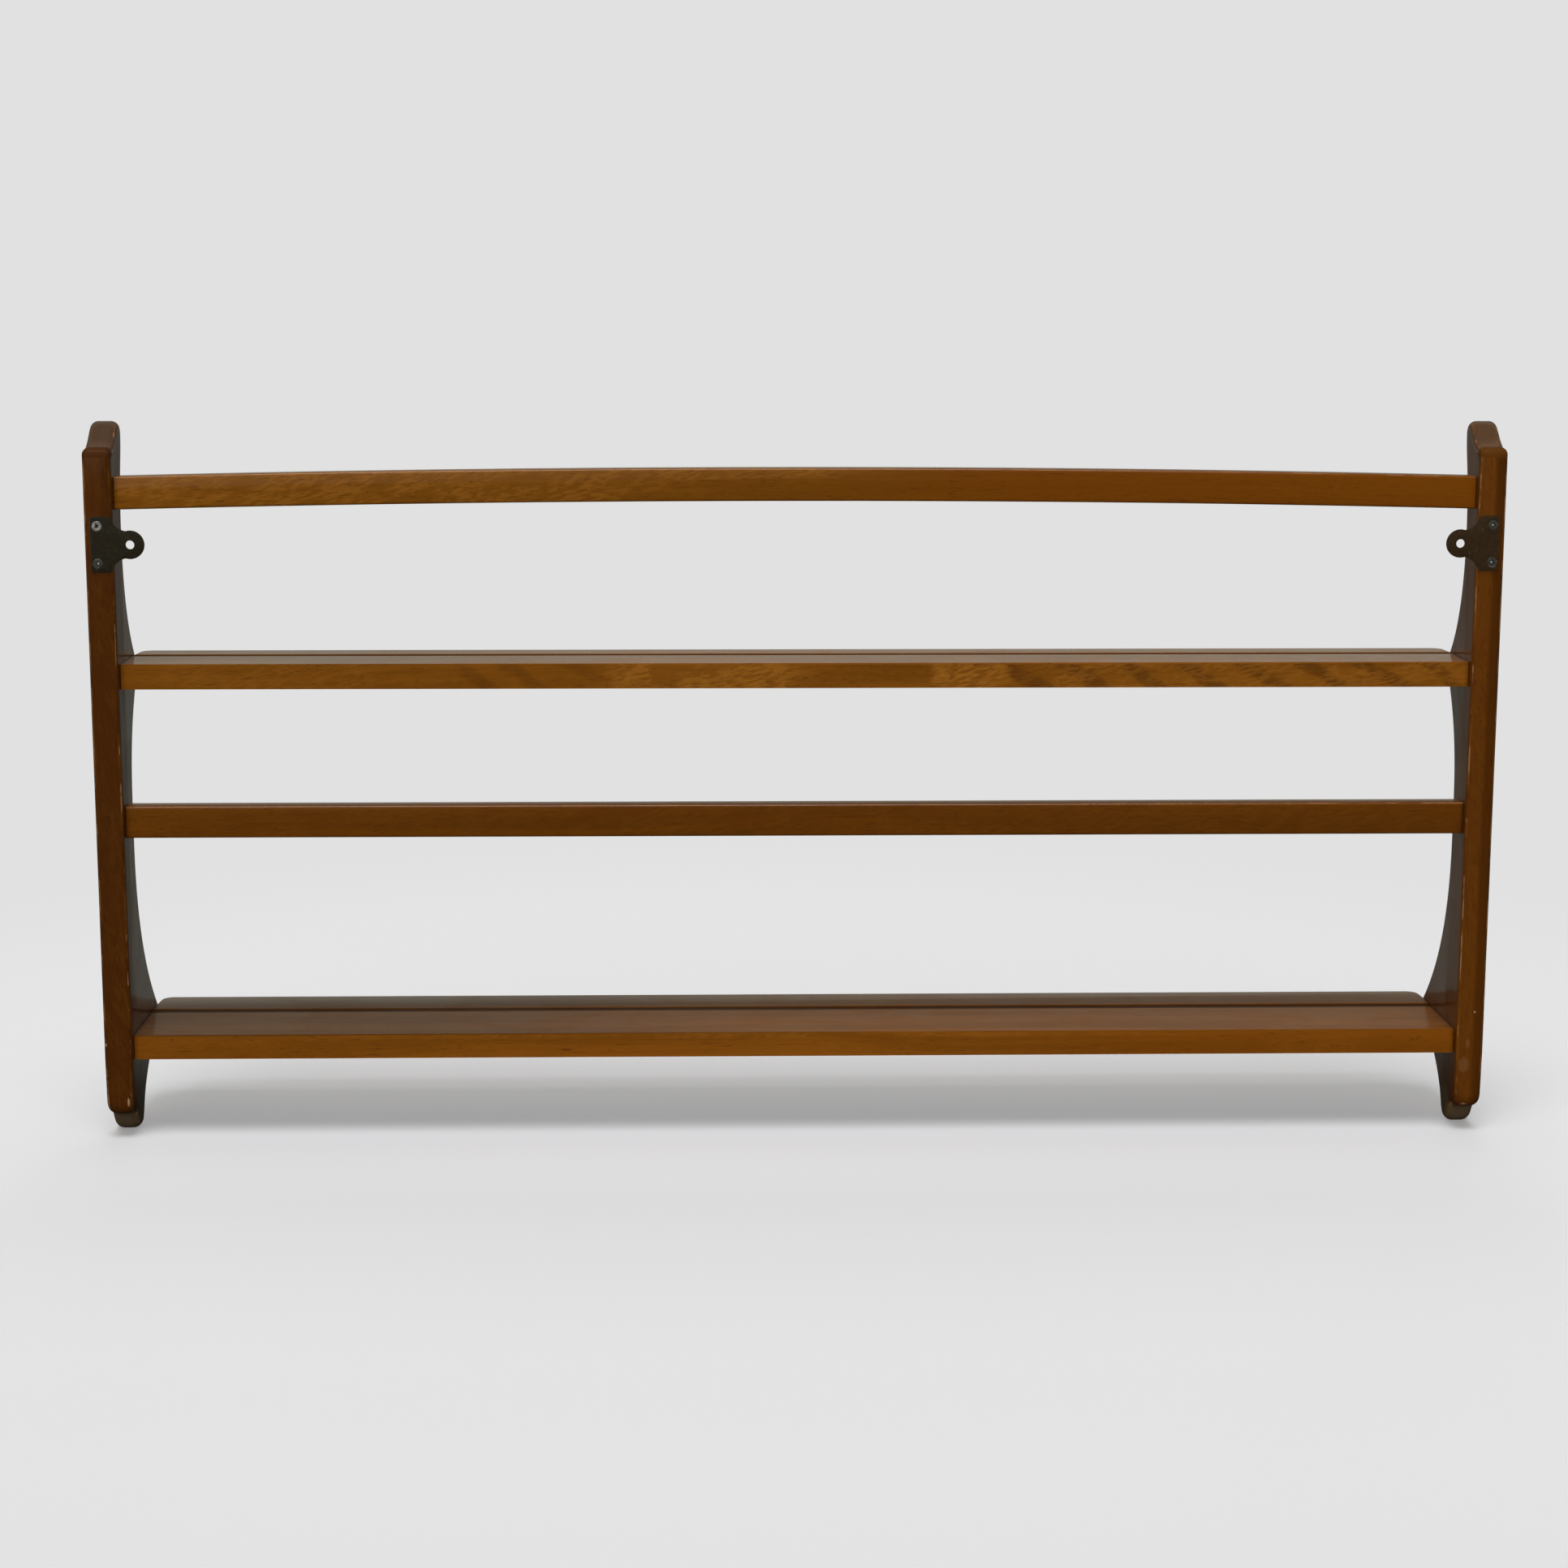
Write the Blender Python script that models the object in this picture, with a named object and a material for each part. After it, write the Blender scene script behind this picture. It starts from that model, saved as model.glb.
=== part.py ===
"""Wall-hung plate rack in dark stained wood: two shaped end panels, two rails and two grooved
shelves on hidden dowels, hung by two screwed metal plates.

Metres, +Z up. X runs along the rack, the wall is at +Y and the room at -Y. The world origin lies
on the wall plane, midway between the two hanging holes. Every piece hangs from the empty "rack",
and inside that empty the height Z starts at the feet and Y = 0 is the panels' rear edge.
"""

import math

import bmesh
import bpy

# Overall sizes
RACK_LENGTH = 0.970
RACK_HEIGHT = 0.500
GAP = 0.0003                        # clearance between pieces that touch

# End panels, as (depth from the rear edge, height) in millimetres
PANEL_THICKNESS = 0.0195
PANEL_EDGE_RADIUS = 0.0036          # round of the rims, softer at the top lobe and the foot
PANEL_LOBE_RADIUS = 0.0055
PANEL_FOOT_RADIUS = 0.0070
LOBE_SOFTENS = (0.476, 0.496)       # heights between which the round grows to the lobe's
FOOT_SOFTENS = (0.050, 0.012)       # and to the foot's
PANEL_EDGE_STEPS = 4
TOP_LOBE_DEPTH = 43.5
TOP_WAIST_DEPTH = 32.5
LOW_WAIST_DEPTH = 38.2
REAR_TOP = 483.5
REAR_BOTTOM = 17.0
LOBE_TOP = RACK_HEIGHT * 1000.0

# Boards between the panels
INNER_HALF = RACK_LENGTH / 2 - PANEL_THICKNESS
BOARD_HALF = INNER_HALF - GAP
BOARD_RECESS = 0.008                # rear faces lie this far inside the panels' rear edge
BOARD_EDGE_RADIUS = 0.0018
RAIL_THICKNESS = 0.015
RAIL_HEIGHT = 0.0225
TOP_RAIL_MIDDLE = 0.4582            # height of the top rail's centre line at mid length
TOP_RAIL_RISE = 0.0056              # how far the arch stands above its ends
LOWER_RAIL_MIDDLE = 0.2252
SHELF_THICKNESS = 0.0175
SHELF_CORNER_RADIUS = 0.009
MIDDLE_SHELF_TOP = 0.3355
MIDDLE_SHELF_FRONT = 0.085
BOTTOM_SHELF_TOP = 0.0735
BOTTOM_SHELF_FRONT = 0.120
GROOVE_RADIUS = 0.0042
GROOVE_DEPTH = 0.003
MIDDLE_GROOVE = 0.057               # depth of each groove's centre line
BOTTOM_GROOVE = 0.079

# Hidden dowels
DOWEL_RADIUS = 0.004
DOWEL_IN_PANEL = 0.012
DOWEL_IN_BOARD = 0.018
DOWEL_CHAMFER = 0.0008
RAIL_DOWEL = BOARD_RECESS + RAIL_THICKNESS / 2
MIDDLE_SHELF_DOWELS = (0.022, 0.048)
BOTTOM_SHELF_DOWELS = (0.022, 0.054, 0.090)

# Hanging plates and their screws
PLATE_THICKNESS = 0.0016
PLATE_OUTER = 0.4805                # distance of the plate's straight edge from mid length
PLATE_WIDTH = 0.01425
PLATE_HALF_HEIGHT = 0.019
PLATE_CORNER_RADIUS = 0.0018
PLATE_MIDDLE = 0.4184               # height of the hanging holes above the feet
EAR_CENTRE = 0.0267                 # from the plate's straight edge
EAR_RADIUS = 0.0097
SHOULDER_RADIUS = 0.012             # hollow round between the plate's corner and its ear
SHOULDER_CENTRE = (0.0256, 0.0211)  # from the straight edge, and from mid height
SHOULDER_END = 261.0                # degrees, where the hollow meets the ear
HANGING_HOLE_RADIUS = 0.003
SCREW_FROM_EDGE = 0.0047
SCREW_HALF_SPACING = 0.01275
SCREW_HEAD_RADIUS = 0.0033
SCREW_SHANK_RADIUS = 0.0017
SCREW_HEAD_HEIGHT = 0.0016
SCREW_LENGTH = 0.016
RECESS_SPAN = 0.0036
RECESS_WIDTH = 0.0009
RECESS_DEPTH = 0.0009
WALL_PLANE = GAP + PLATE_THICKNESS

# Finishes: base colour, roughness, metallic
WOOD_FINISH = ((0.110, 0.042, 0.012), 0.35, 0.0)
SHELF_FINISH = ((0.130, 0.048, 0.013), 0.35, 0.0)
DOWEL_FINISH = ((0.520, 0.360, 0.190), 0.60, 0.0)
PLATE_FINISH = ((0.028, 0.023, 0.018), 0.45, 0.8)
SCREW_FINISH = ((0.560, 0.540, 0.500), 0.30, 1.0)

BEVEL_WEIGHT = "bevel_weight_edge"
ROUND_SIDES = 16
BEZIER_STEPS = 9
CORNER_STEPS = 4


def clear_scene():
    for item in list(bpy.data.objects):
        bpy.data.objects.remove(item, do_unlink=True)


def make_material(name, finish):
    colour, roughness, metallic = finish
    material = bpy.data.materials.new(name)
    material.use_nodes = True
    shader = material.node_tree.nodes["Principled BSDF"]
    shader.inputs["Base Color"].default_value = (*colour, 1.0)
    shader.inputs["Roughness"].default_value = roughness
    shader.inputs["Metallic"].default_value = metallic
    return material


def add_object(name, build, parent, finish=None):
    """Run build on a new bmesh and keep the result as an object under parent."""
    mesh = bpy.data.meshes.new(name)
    shape = bmesh.new()
    shape.edges.layers.float.new(BEVEL_WEIGHT)
    build(shape)
    bmesh.ops.recalc_face_normals(shape, faces=shape.faces)
    shape.to_mesh(mesh)
    shape.free()
    mesh.shade_smooth()
    mesh.set_sharp_from_angle(angle=math.radians(40))
    item = bpy.data.objects.new(name, mesh)
    item.parent = parent
    bpy.context.scene.collection.objects.link(item)
    if finish:
        mesh.materials.append(make_material(name, finish))
    return item


def add_cutter(name, build, parent):
    cutter = add_object(name, build, parent)
    cutter.hide_render = True
    cutter.display_type = "WIRE"
    return cutter


def cut(item, cutter):
    modifier = item.modifiers.new("cut", "BOOLEAN")
    modifier.operation = "DIFFERENCE"
    modifier.object = cutter


def round_edges(item, width, segments=3):
    """Round the edges marked by bevel weight."""
    modifier = item.modifiers.new("rounding", "BEVEL")
    modifier.limit_method = "WEIGHT"
    modifier.width = width
    modifier.segments = segments


def mark_for_bevel(shape, edges):
    layer = shape.edges.layers.float[BEVEL_WEIGHT]
    for edge in edges:
        edge[layer] = 1.0


def bezier(start, handle_a, handle_b, end, steps):
    """Points of a cubic Bezier curve without its end point."""
    points = []
    for step in range(steps):
        t = step / steps
        weights = ((1 - t) ** 3, 3 * t * (1 - t) ** 2, 3 * t * t * (1 - t), t ** 3)
        corners = (start, handle_a, handle_b, end)
        points.append(tuple(sum(w * c[axis] for w, c in zip(weights, corners)) for axis in (0, 1)))
    return points


def arc(centre, radius, first, last, steps):
    """Points on an arc, ends included, with angles in degrees."""
    angles = [math.radians(first + (last - first) * step / steps) for step in range(steps + 1)]
    return [(centre[0] + radius * math.cos(a), centre[1] + radius * math.sin(a)) for a in angles]


def panel_outline():
    """Closed outline of an end panel as (depth, height) in metres."""
    top = LOBE_TOP
    curves = (
        # rear top corner, rise to the top lobe, round front of the lobe
        ((0, 478.5), (0, 481.3), (2.2, REAR_TOP), (5, REAR_TOP), CORNER_STEPS),
        ((5, REAR_TOP), (20, REAR_TOP), (26, top), (36, top), BEZIER_STEPS),
        ((36, top), (40.5, top), (TOP_LOBE_DEPTH, 496.5), (TOP_LOBE_DEPTH, 491.5), CORNER_STEPS),
        # down to the upper waist and out to the middle shelf's lobe
        ((TOP_LOBE_DEPTH, 491.5), (42.5, 479), (TOP_WAIST_DEPTH, 462), (TOP_WAIST_DEPTH, 425), BEZIER_STEPS),
        ((TOP_WAIST_DEPTH, 425), (TOP_WAIST_DEPTH, 385), (43.5, 357.5), (63.5, 337.5), BEZIER_STEPS),
        ((63.5, 337.5), (68.5, 332.5), (70.5, 326), (66.5, 318.5), CORNER_STEPS),
        # in to the lower waist and out to the bottom shelf's lobe
        ((66.5, 318.5), (58.5, 303.5), (LOW_WAIST_DEPTH, 285), (LOW_WAIST_DEPTH, 235), BEZIER_STEPS),
        ((LOW_WAIST_DEPTH, 205), (LOW_WAIST_DEPTH, 150), (62, 109), (102, 75), BEZIER_STEPS + 2),
        ((102, 75), (107, 70.7), (109, 64), (103, 58), CORNER_STEPS),
        # under the bottom shelf to the foot
        ((103, 58), (92, 49), (78, 49), (64.5, 38.7), BEZIER_STEPS - 3),
        ((64.5, 38.7), (54.5, 30), (48.5, 22.5), (45, 15), BEZIER_STEPS - 4),
        ((45, 15), (41, 6.4), (38.5, 0), (32, 0), CORNER_STEPS + 1),
        # foot's sole up to the rear bottom corner
        ((32, 0), (20.5, 0), (19.5, REAR_BOTTOM), (9, REAR_BOTTOM), BEZIER_STEPS),
        ((9, REAR_BOTTOM), (4, REAR_BOTTOM), (0, 21), (0, 27), CORNER_STEPS),
    )
    points = []
    for *corners, steps in curves:
        points += bezier(*corners, steps)
        if corners[3] == (LOW_WAIST_DEPTH, 235) or corners[3] == (0, 27):
            points.append(corners[3])
    return [(depth / 1000.0, height / 1000.0) for depth, height in points]


def add_cylinder(shape, start, end, radius, sides=ROUND_SIDES):
    """A closed cylinder along X or Y between two points."""
    along_x = abs(end[0] - start[0]) > 1e-6
    rings = []
    for point in (start, end):
        ring = []
        for side in range(sides):
            angle = 2 * math.pi * (side + 0.5) / sides
            across, up = radius * math.cos(angle), radius * math.sin(angle)
            if along_x:
                ring.append(shape.verts.new((point[0], point[1] + across, point[2] + up)))
            else:
                ring.append(shape.verts.new((point[0] + across, point[1], point[2] + up)))
        rings.append(ring)
    shape.faces.new(rings[0])
    shape.faces.new(rings[1][::-1])
    for side in range(sides):
        after = (side + 1) % sides
        shape.faces.new((rings[0][side], rings[1][side], rings[1][after], rings[0][after]))


def joints():
    """Dowel centre lines as (name, depth, height)."""
    shelf_half = SHELF_THICKNESS / 2
    places = [
        ("top_rail_dowel", RAIL_DOWEL, TOP_RAIL_MIDDLE - TOP_RAIL_RISE),
        ("lower_rail_dowel", RAIL_DOWEL, LOWER_RAIL_MIDDLE),
    ]
    for number, depth in enumerate(MIDDLE_SHELF_DOWELS, start=1):
        places.append((f"middle_shelf_dowel_{number}", depth, MIDDLE_SHELF_TOP - shelf_half))
    for number, depth in enumerate(BOTTOM_SHELF_DOWELS, start=1):
        places.append((f"bottom_shelf_dowel_{number}", depth, BOTTOM_SHELF_TOP - shelf_half))
    return places


def make_dowel_sockets(rack):
    """One cutter for all dowel holes, which are blind on both sides of each joint."""
    def build(shape):
        for side in (-1, 1):
            for _, depth, height in joints():
                inner = side * (INNER_HALF - DOWEL_IN_BOARD - GAP)
                outer = side * (INNER_HALF + DOWEL_IN_PANEL + GAP)
                add_cylinder(shape, (inner, -depth, height), (outer, -depth, height),
                             DOWEL_RADIUS + GAP)
    return add_cutter("dowel_sockets", build, rack)


def make_screw_holes(rack):
    """One cutter for the four pilot holes in the panels' rear edges."""
    def build(shape):
        for side in (-1, 1):
            for step in (-1, 1):
                x = side * (PLATE_OUTER - SCREW_FROM_EDGE)
                z = PLATE_MIDDLE + step * SCREW_HALF_SPACING
                add_cylinder(shape, (x, 0.001, z), (x, -SCREW_LENGTH - 2 * GAP, z),
                             SCREW_SHANK_RADIUS + GAP)
    return add_cutter("screw_holes", build, rack)


def panel_round(height):
    """Radius of a panel's rim at a height."""
    radius = PANEL_EDGE_RADIUS
    for (start, full), softest in ((LOBE_SOFTENS, PANEL_LOBE_RADIUS), (FOOT_SOFTENS, PANEL_FOOT_RADIUS)):
        share = min(1.0, max(0.0, (height - start) / (full - start)))
        radius += (softest - PANEL_EDGE_RADIUS) * share * share * (3 - 2 * share)
    return radius


def inward(outline, index):
    """Unit vector into an outline at one of its points; the outline runs clockwise."""
    before, after = outline[index - 1], outline[(index + 1) % len(outline)]
    across, up = after[0] - before[0], after[1] - before[1]
    length = math.hypot(across, up)
    return up / length, -across / length


def make_end_panel(name, side, rack, sockets, screw_holes):
    """A panel as rings of one outline, set in towards both faces by a round."""
    outline = panel_outline()
    turns = [math.pi / 2 * step / PANEL_EDGE_STEPS for step in range(PANEL_EDGE_STEPS + 1)]

    def ring(shape, face, other, turn):
        points = []
        for index, (depth, height) in enumerate(outline):
            radius = panel_round(height)
            step = radius * (1 - math.cos(turn))
            x = face + math.copysign(radius * (1 - math.sin(turn)), other - face)
            (across, up) = inward(outline, index)
            points.append(shape.verts.new((x, -(depth + across * step), height + up * step)))
        return points

    def build(shape):
        inner, outer = side * INNER_HALF, side * RACK_LENGTH / 2
        rings = [ring(shape, inner, outer, turn) for turn in reversed(turns)]
        rings += [ring(shape, outer, inner, turn) for turn in turns]
        shape.faces.new(rings[0])
        shape.faces.new(rings[-1][::-1])
        for here, following in zip(rings, rings[1:]):
            for index in range(len(here)):
                after = (index + 1) % len(here)
                shape.faces.new((here[index], following[index], following[after], here[after]))
    panel = add_object(name, build, rack, WOOD_FINISH)
    cut(panel, sockets)
    cut(panel, screw_holes)
    return panel


def make_rail(name, middle, rise, rack, sockets):
    """A rail of rectangular section whose centre line is a shallow parabola."""
    stations = 32 if rise else 1

    def build(shape):
        rings = []
        for station in range(stations + 1):
            x = BOARD_HALF * (2 * station / stations - 1)
            z = middle - rise * (x / BOARD_HALF) ** 2
            front, rear = -BOARD_RECESS - RAIL_THICKNESS, -BOARD_RECESS
            low, high = z - RAIL_HEIGHT / 2, z + RAIL_HEIGHT / 2
            corners = ((front, low), (rear, low), (rear, high), (front, high))
            rings.append([shape.verts.new((x, y, height)) for y, height in corners])
        shape.faces.new(rings[0])
        shape.faces.new(rings[-1][::-1])
        for ring, following in zip(rings, rings[1:]):
            for index in range(4):
                after = (index + 1) % 4
                shape.faces.new((ring[index], following[index], following[after], ring[after]))
        lengthwise = [edge for edge in shape.edges if abs(edge.verts[0].co.x - edge.verts[1].co.x) > 1e-6]
        mark_for_bevel(shape, lengthwise)
    rail = add_object(name, build, rack, WOOD_FINISH)
    round_edges(rail, BOARD_EDGE_RADIUS)
    cut(rail, sockets)
    return rail


def make_shelf(name, top, front, groove, rack, sockets):
    """A shelf with round front corners and a groove that stops plates from sliding."""
    def build(shape):
        radius = SHELF_CORNER_RADIUS
        right = arc((BOARD_HALF - radius, -front + radius), radius, 0, -90, 6)
        left = [(-x, y) for x, y in reversed(right)]
        outline = [(BOARD_HALF, -BOARD_RECESS)] + right + left + [(-BOARD_HALF, -BOARD_RECESS)]
        rims = set()
        rings = []
        for z in (top - SHELF_THICKNESS, top):
            ring = [shape.verts.new((x, y, z)) for x, y in outline]
            face = shape.faces.new(ring)
            rings.append(ring)
            for edge in face.edges:
                if not all(abs(abs(vert.co.x) - BOARD_HALF) < 1e-6 for vert in edge.verts):
                    rims.add(edge)
        for index in range(len(outline)):
            after = (index + 1) % len(outline)
            shape.faces.new((rings[0][index], rings[1][index], rings[1][after], rings[0][after]))
        mark_for_bevel(shape, rims)

    def build_groove(shape):
        z = top - GROOVE_DEPTH + GROOVE_RADIUS
        reach = BOARD_HALF + 0.005
        add_cylinder(shape, (-reach, -groove, z), (reach, -groove, z), GROOVE_RADIUS)
    shelf = add_object(name, build, rack, SHELF_FINISH)
    round_edges(shelf, BOARD_EDGE_RADIUS)
    cut(shelf, add_cutter(f"{name}_groove", build_groove, rack))
    cut(shelf, sockets)
    return shelf


def make_dowels(rack):
    names = {-1: "left", 1: "right"}
    for side in (-1, 1):
        for name, depth, height in joints():
            def build(shape, depth=depth, height=height, side=side):
                inner = side * (INNER_HALF - DOWEL_IN_BOARD)
                outer = side * (INNER_HALF + DOWEL_IN_PANEL)
                add_cylinder(shape, (inner, -depth, height), (outer, -depth, height), DOWEL_RADIUS)
                ends = [edge for edge in shape.edges
                        if abs(edge.verts[0].co.x - edge.verts[1].co.x) < 1e-6]
                bmesh.ops.bevel(shape, geom=ends, offset=DOWEL_CHAMFER, segments=1, affect="EDGES")
            add_object(f"{name}_{names[side]}", build, rack, DOWEL_FINISH)


def plate_outline():
    """Closed outline of a hanging plate as (distance from its straight edge, height)."""
    half, radius = PLATE_HALF_HEIGHT, PLATE_CORNER_RADIUS
    corner = arc((PLATE_WIDTH - radius, half - radius), radius, 90, 0, 3)
    drop = SHOULDER_CENTRE[1] - (half - radius)
    shoulder_start = 180 + math.degrees(math.asin(drop / SHOULDER_RADIUS))
    shoulder = arc(SHOULDER_CENTRE, SHOULDER_RADIUS, shoulder_start, SHOULDER_END, 7)
    (x, z) = shoulder[-1]
    ear_start = math.degrees(math.atan2(z, x - EAR_CENTRE))
    ear = arc((EAR_CENTRE, 0), EAR_RADIUS, ear_start, 0, 12)
    upper = [(0, half)] + corner + shoulder[1:-1] + ear
    lower = [(x, -z) for x, z in reversed(upper[:-1])]
    return upper + lower


def make_hanging_plate(name, side, rack):
    def build(shape):
        rings = []
        for y in (GAP, WALL_PLANE):
            ring = [shape.verts.new((side * (PLATE_OUTER - x), y, PLATE_MIDDLE + z))
                    for x, z in plate_outline()]
            shape.faces.new(ring)
            rings.append(ring)
        for index in range(len(rings[0])):
            after = (index + 1) % len(rings[0])
            shape.faces.new((rings[0][index], rings[1][index], rings[1][after], rings[0][after]))

    def build_holes(shape):
        ear = side * (PLATE_OUTER - EAR_CENTRE)
        add_cylinder(shape, (ear, -0.001, PLATE_MIDDLE), (ear, WALL_PLANE + 0.001, PLATE_MIDDLE),
                     HANGING_HOLE_RADIUS)
        x = side * (PLATE_OUTER - SCREW_FROM_EDGE)
        for step in (-1, 1):
            add_cone_seat(shape, (x, PLATE_MIDDLE + step * SCREW_HALF_SPACING))
    plate = add_object(name, build, rack, PLATE_FINISH)
    cut(plate, add_cutter(f"{name}_holes", build_holes, rack))
    return plate


def revolve(shape, profile, x, z, sides=ROUND_SIDES):
    """Turn a profile of (radius, y) points around a line along Y at (x, z)."""
    first = shape.verts.new((x, profile[0][1], z))
    last = shape.verts.new((x, profile[-1][1], z))
    rings = []
    for radius, y in profile[1:-1]:
        turns = [2 * math.pi * (side + 0.5) / sides for side in range(sides)]
        rings.append([shape.verts.new((x + radius * math.cos(turn), y, z + radius * math.sin(turn)))
                      for turn in turns])
    for side in range(sides):
        after = (side + 1) % sides
        shape.faces.new((first, rings[0][side], rings[0][after]))
        shape.faces.new((last, rings[-1][after], rings[-1][side]))
        for ring, following in zip(rings, rings[1:]):
            shape.faces.new((ring[side], following[side], following[after], ring[after]))


def add_cone_seat(shape, place):
    """Countersink and through hole for one plate screw."""
    margin = 0.001
    head = SCREW_HEAD_RADIUS + GAP
    shank = SCREW_SHANK_RADIUS + GAP
    profile = ((0, WALL_PLANE + margin), (head + margin, WALL_PLANE + margin), (head, WALL_PLANE),
               (shank, WALL_PLANE - SCREW_HEAD_HEIGHT), (shank, -margin), (0, -margin))
    revolve(shape, profile, *place)


def make_screw(name, side, step, rack):
    """A countersunk wood screw along Y, with a cross recess in its head."""
    x = side * (PLATE_OUTER - SCREW_FROM_EDGE)
    z = PLATE_MIDDLE + step * SCREW_HALF_SPACING

    def build(shape):
        tip = -SCREW_LENGTH
        profile = ((0, WALL_PLANE), (SCREW_HEAD_RADIUS, WALL_PLANE),
                   (SCREW_SHANK_RADIUS, WALL_PLANE - SCREW_HEAD_HEIGHT),
                   (SCREW_SHANK_RADIUS, tip + 0.004), (0.0004, tip), (0, tip))
        revolve(shape, profile, x, z)

    def build_recess(shape):
        for along, across in ((RECESS_SPAN, RECESS_WIDTH), (RECESS_WIDTH, RECESS_SPAN)):
            box = bmesh.ops.create_cube(shape, size=1.0)["verts"]
            bmesh.ops.scale(shape, verts=box, vec=(along, 2 * RECESS_DEPTH, across))
            bmesh.ops.translate(shape, verts=box, vec=(x, WALL_PLANE, z))
    screw = add_object(name, build, rack, SCREW_FINISH)
    cutter = add_cutter(f"{name}_recess", build_recess, rack)
    cut(screw, cutter)
    screw.modifiers["cut"].use_self = True
    return screw


def main():
    clear_scene()
    rack = bpy.data.objects.new("rack", None)
    rack.location = (0, -WALL_PLANE, -PLATE_MIDDLE)
    bpy.context.scene.collection.objects.link(rack)

    sockets = make_dowel_sockets(rack)
    screw_holes = make_screw_holes(rack)
    make_end_panel("end_panel_left", -1, rack, sockets, screw_holes)
    make_end_panel("end_panel_right", 1, rack, sockets, screw_holes)
    make_rail("top_rail", TOP_RAIL_MIDDLE, TOP_RAIL_RISE, rack, sockets)
    make_rail("lower_rail", LOWER_RAIL_MIDDLE, 0, rack, sockets)
    make_shelf("middle_shelf", MIDDLE_SHELF_TOP, MIDDLE_SHELF_FRONT, MIDDLE_GROOVE, rack, sockets)
    make_shelf("bottom_shelf", BOTTOM_SHELF_TOP, BOTTOM_SHELF_FRONT, BOTTOM_GROOVE, rack, sockets)
    make_dowels(rack)
    for side, hand in ((-1, "left"), (1, "right")):
        make_hanging_plate(f"hanging_plate_{hand}", side, rack)
        for step, level in ((1, "upper"), (-1, "lower")):
            make_screw(f"plate_screw_{hand}_{level}", side, step, rack)


main()
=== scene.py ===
"""Looks of a wall-hung plate rack: lacquered wood panels, rails and grooved shelves, and dark iron
hanging plates with small cross-head screws.

Metres, +Z up. X runs along the rack, the wall is at +Y and the room at -Y. The origin lies on the
wall plane, midway between the two hanging holes.
"""

import logging
import math
from dataclasses import dataclass
from enum import Enum
from typing import Callable

import bmesh
import bpy
from mathutils import Matrix, Vector


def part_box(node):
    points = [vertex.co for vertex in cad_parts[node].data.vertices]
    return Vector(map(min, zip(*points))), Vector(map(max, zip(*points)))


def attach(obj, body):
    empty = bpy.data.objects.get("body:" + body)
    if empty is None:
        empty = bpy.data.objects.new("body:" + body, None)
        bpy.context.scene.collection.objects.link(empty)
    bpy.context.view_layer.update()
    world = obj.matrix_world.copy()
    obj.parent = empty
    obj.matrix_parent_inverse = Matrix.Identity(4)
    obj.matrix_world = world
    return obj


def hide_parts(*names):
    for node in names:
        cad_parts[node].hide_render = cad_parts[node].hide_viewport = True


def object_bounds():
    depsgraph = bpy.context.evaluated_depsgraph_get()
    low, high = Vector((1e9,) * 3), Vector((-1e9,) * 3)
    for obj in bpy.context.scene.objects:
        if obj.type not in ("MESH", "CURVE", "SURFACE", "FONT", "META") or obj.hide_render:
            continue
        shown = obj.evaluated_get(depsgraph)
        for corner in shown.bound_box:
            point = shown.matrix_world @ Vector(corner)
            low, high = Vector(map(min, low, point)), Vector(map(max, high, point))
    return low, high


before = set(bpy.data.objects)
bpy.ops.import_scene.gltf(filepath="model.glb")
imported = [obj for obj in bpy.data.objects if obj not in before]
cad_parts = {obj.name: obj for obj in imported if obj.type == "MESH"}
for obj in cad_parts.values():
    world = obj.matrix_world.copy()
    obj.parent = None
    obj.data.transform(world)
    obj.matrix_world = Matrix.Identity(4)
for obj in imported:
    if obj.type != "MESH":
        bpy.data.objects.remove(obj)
CAD_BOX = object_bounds()

LOG = logging.getLogger("plate_rack")
BODY = "root"
MILLIMETRE = 0.001
CLOSE = 0.00002                     # two places nearer than this count as the same
BAND_DEPTH = 0.55                   # how far the grain's parts colour the wood
STREAK_DEPTH = 0.30
PORE_DEPTH = 0.55
RUB_DEPTH = 0.22
PATCH_GROUND = 0.22                 # share of a patch's gold between its flecks

Colour = tuple[float, float, float]
Place = tuple[float, float, float]
Material = bpy.types.Material
Node = bpy.types.Node
Piece = bpy.types.Object
Socket = bpy.types.NodeSocket
Tree = bpy.types.NodeTree


class Side(Enum):
    """The two ends of the rack, as seen from the room; the value is the sign of X."""

    LEFT = -1
    RIGHT = 1

    @property
    def word(self) -> str:
        """The side's name as it stands in the names of pieces."""
        return self.name.lower()


class Level(Enum):
    """Upper and lower screw of a hanging plate; the value is the sign of Z."""

    UPPER = 1
    LOWER = -1

    @property
    def word(self) -> str:
        """The level's name as it stands in the names of pieces."""
        return self.name.lower()


class Grain(Enum):
    """The way a board's fibres run; the value turns X onto them."""

    ALONG_RACK = (0.0, 0.0, 0.0)
    UPRIGHT = (0.0, math.radians(90.0), 0.0)

    @property
    def broad_axis(self) -> Place:
        """The axis square to the board's broad faces."""
        return (1.0, 0.0, 0.0) if self is Grain.UPRIGHT else (0.0, 0.0, 1.0)


# ---------------------------------------------------------------------------------------------
# Node building


def add_node(
    tree: Tree,
    kind: str,
    inputs: dict[str | int, object] | None = None,
    **settings: object,
) -> Node:
    """Add a node, set it and feed it.

    Args:
        tree: The node tree that gets the node.
        kind: The node's type name.
        inputs: A value or another node's output for each input, by name or number.
        **settings: The node's own properties.

    Returns:
        The new node.
    """
    node = tree.nodes.new(kind)
    for name, value in settings.items():
        setattr(node, name, value)
    for name, value in (inputs or {}).items():
        if isinstance(value, Socket):
            tree.links.new(value, node.inputs[name])
        else:
            node.inputs[name].default_value = value
    return node


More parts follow.
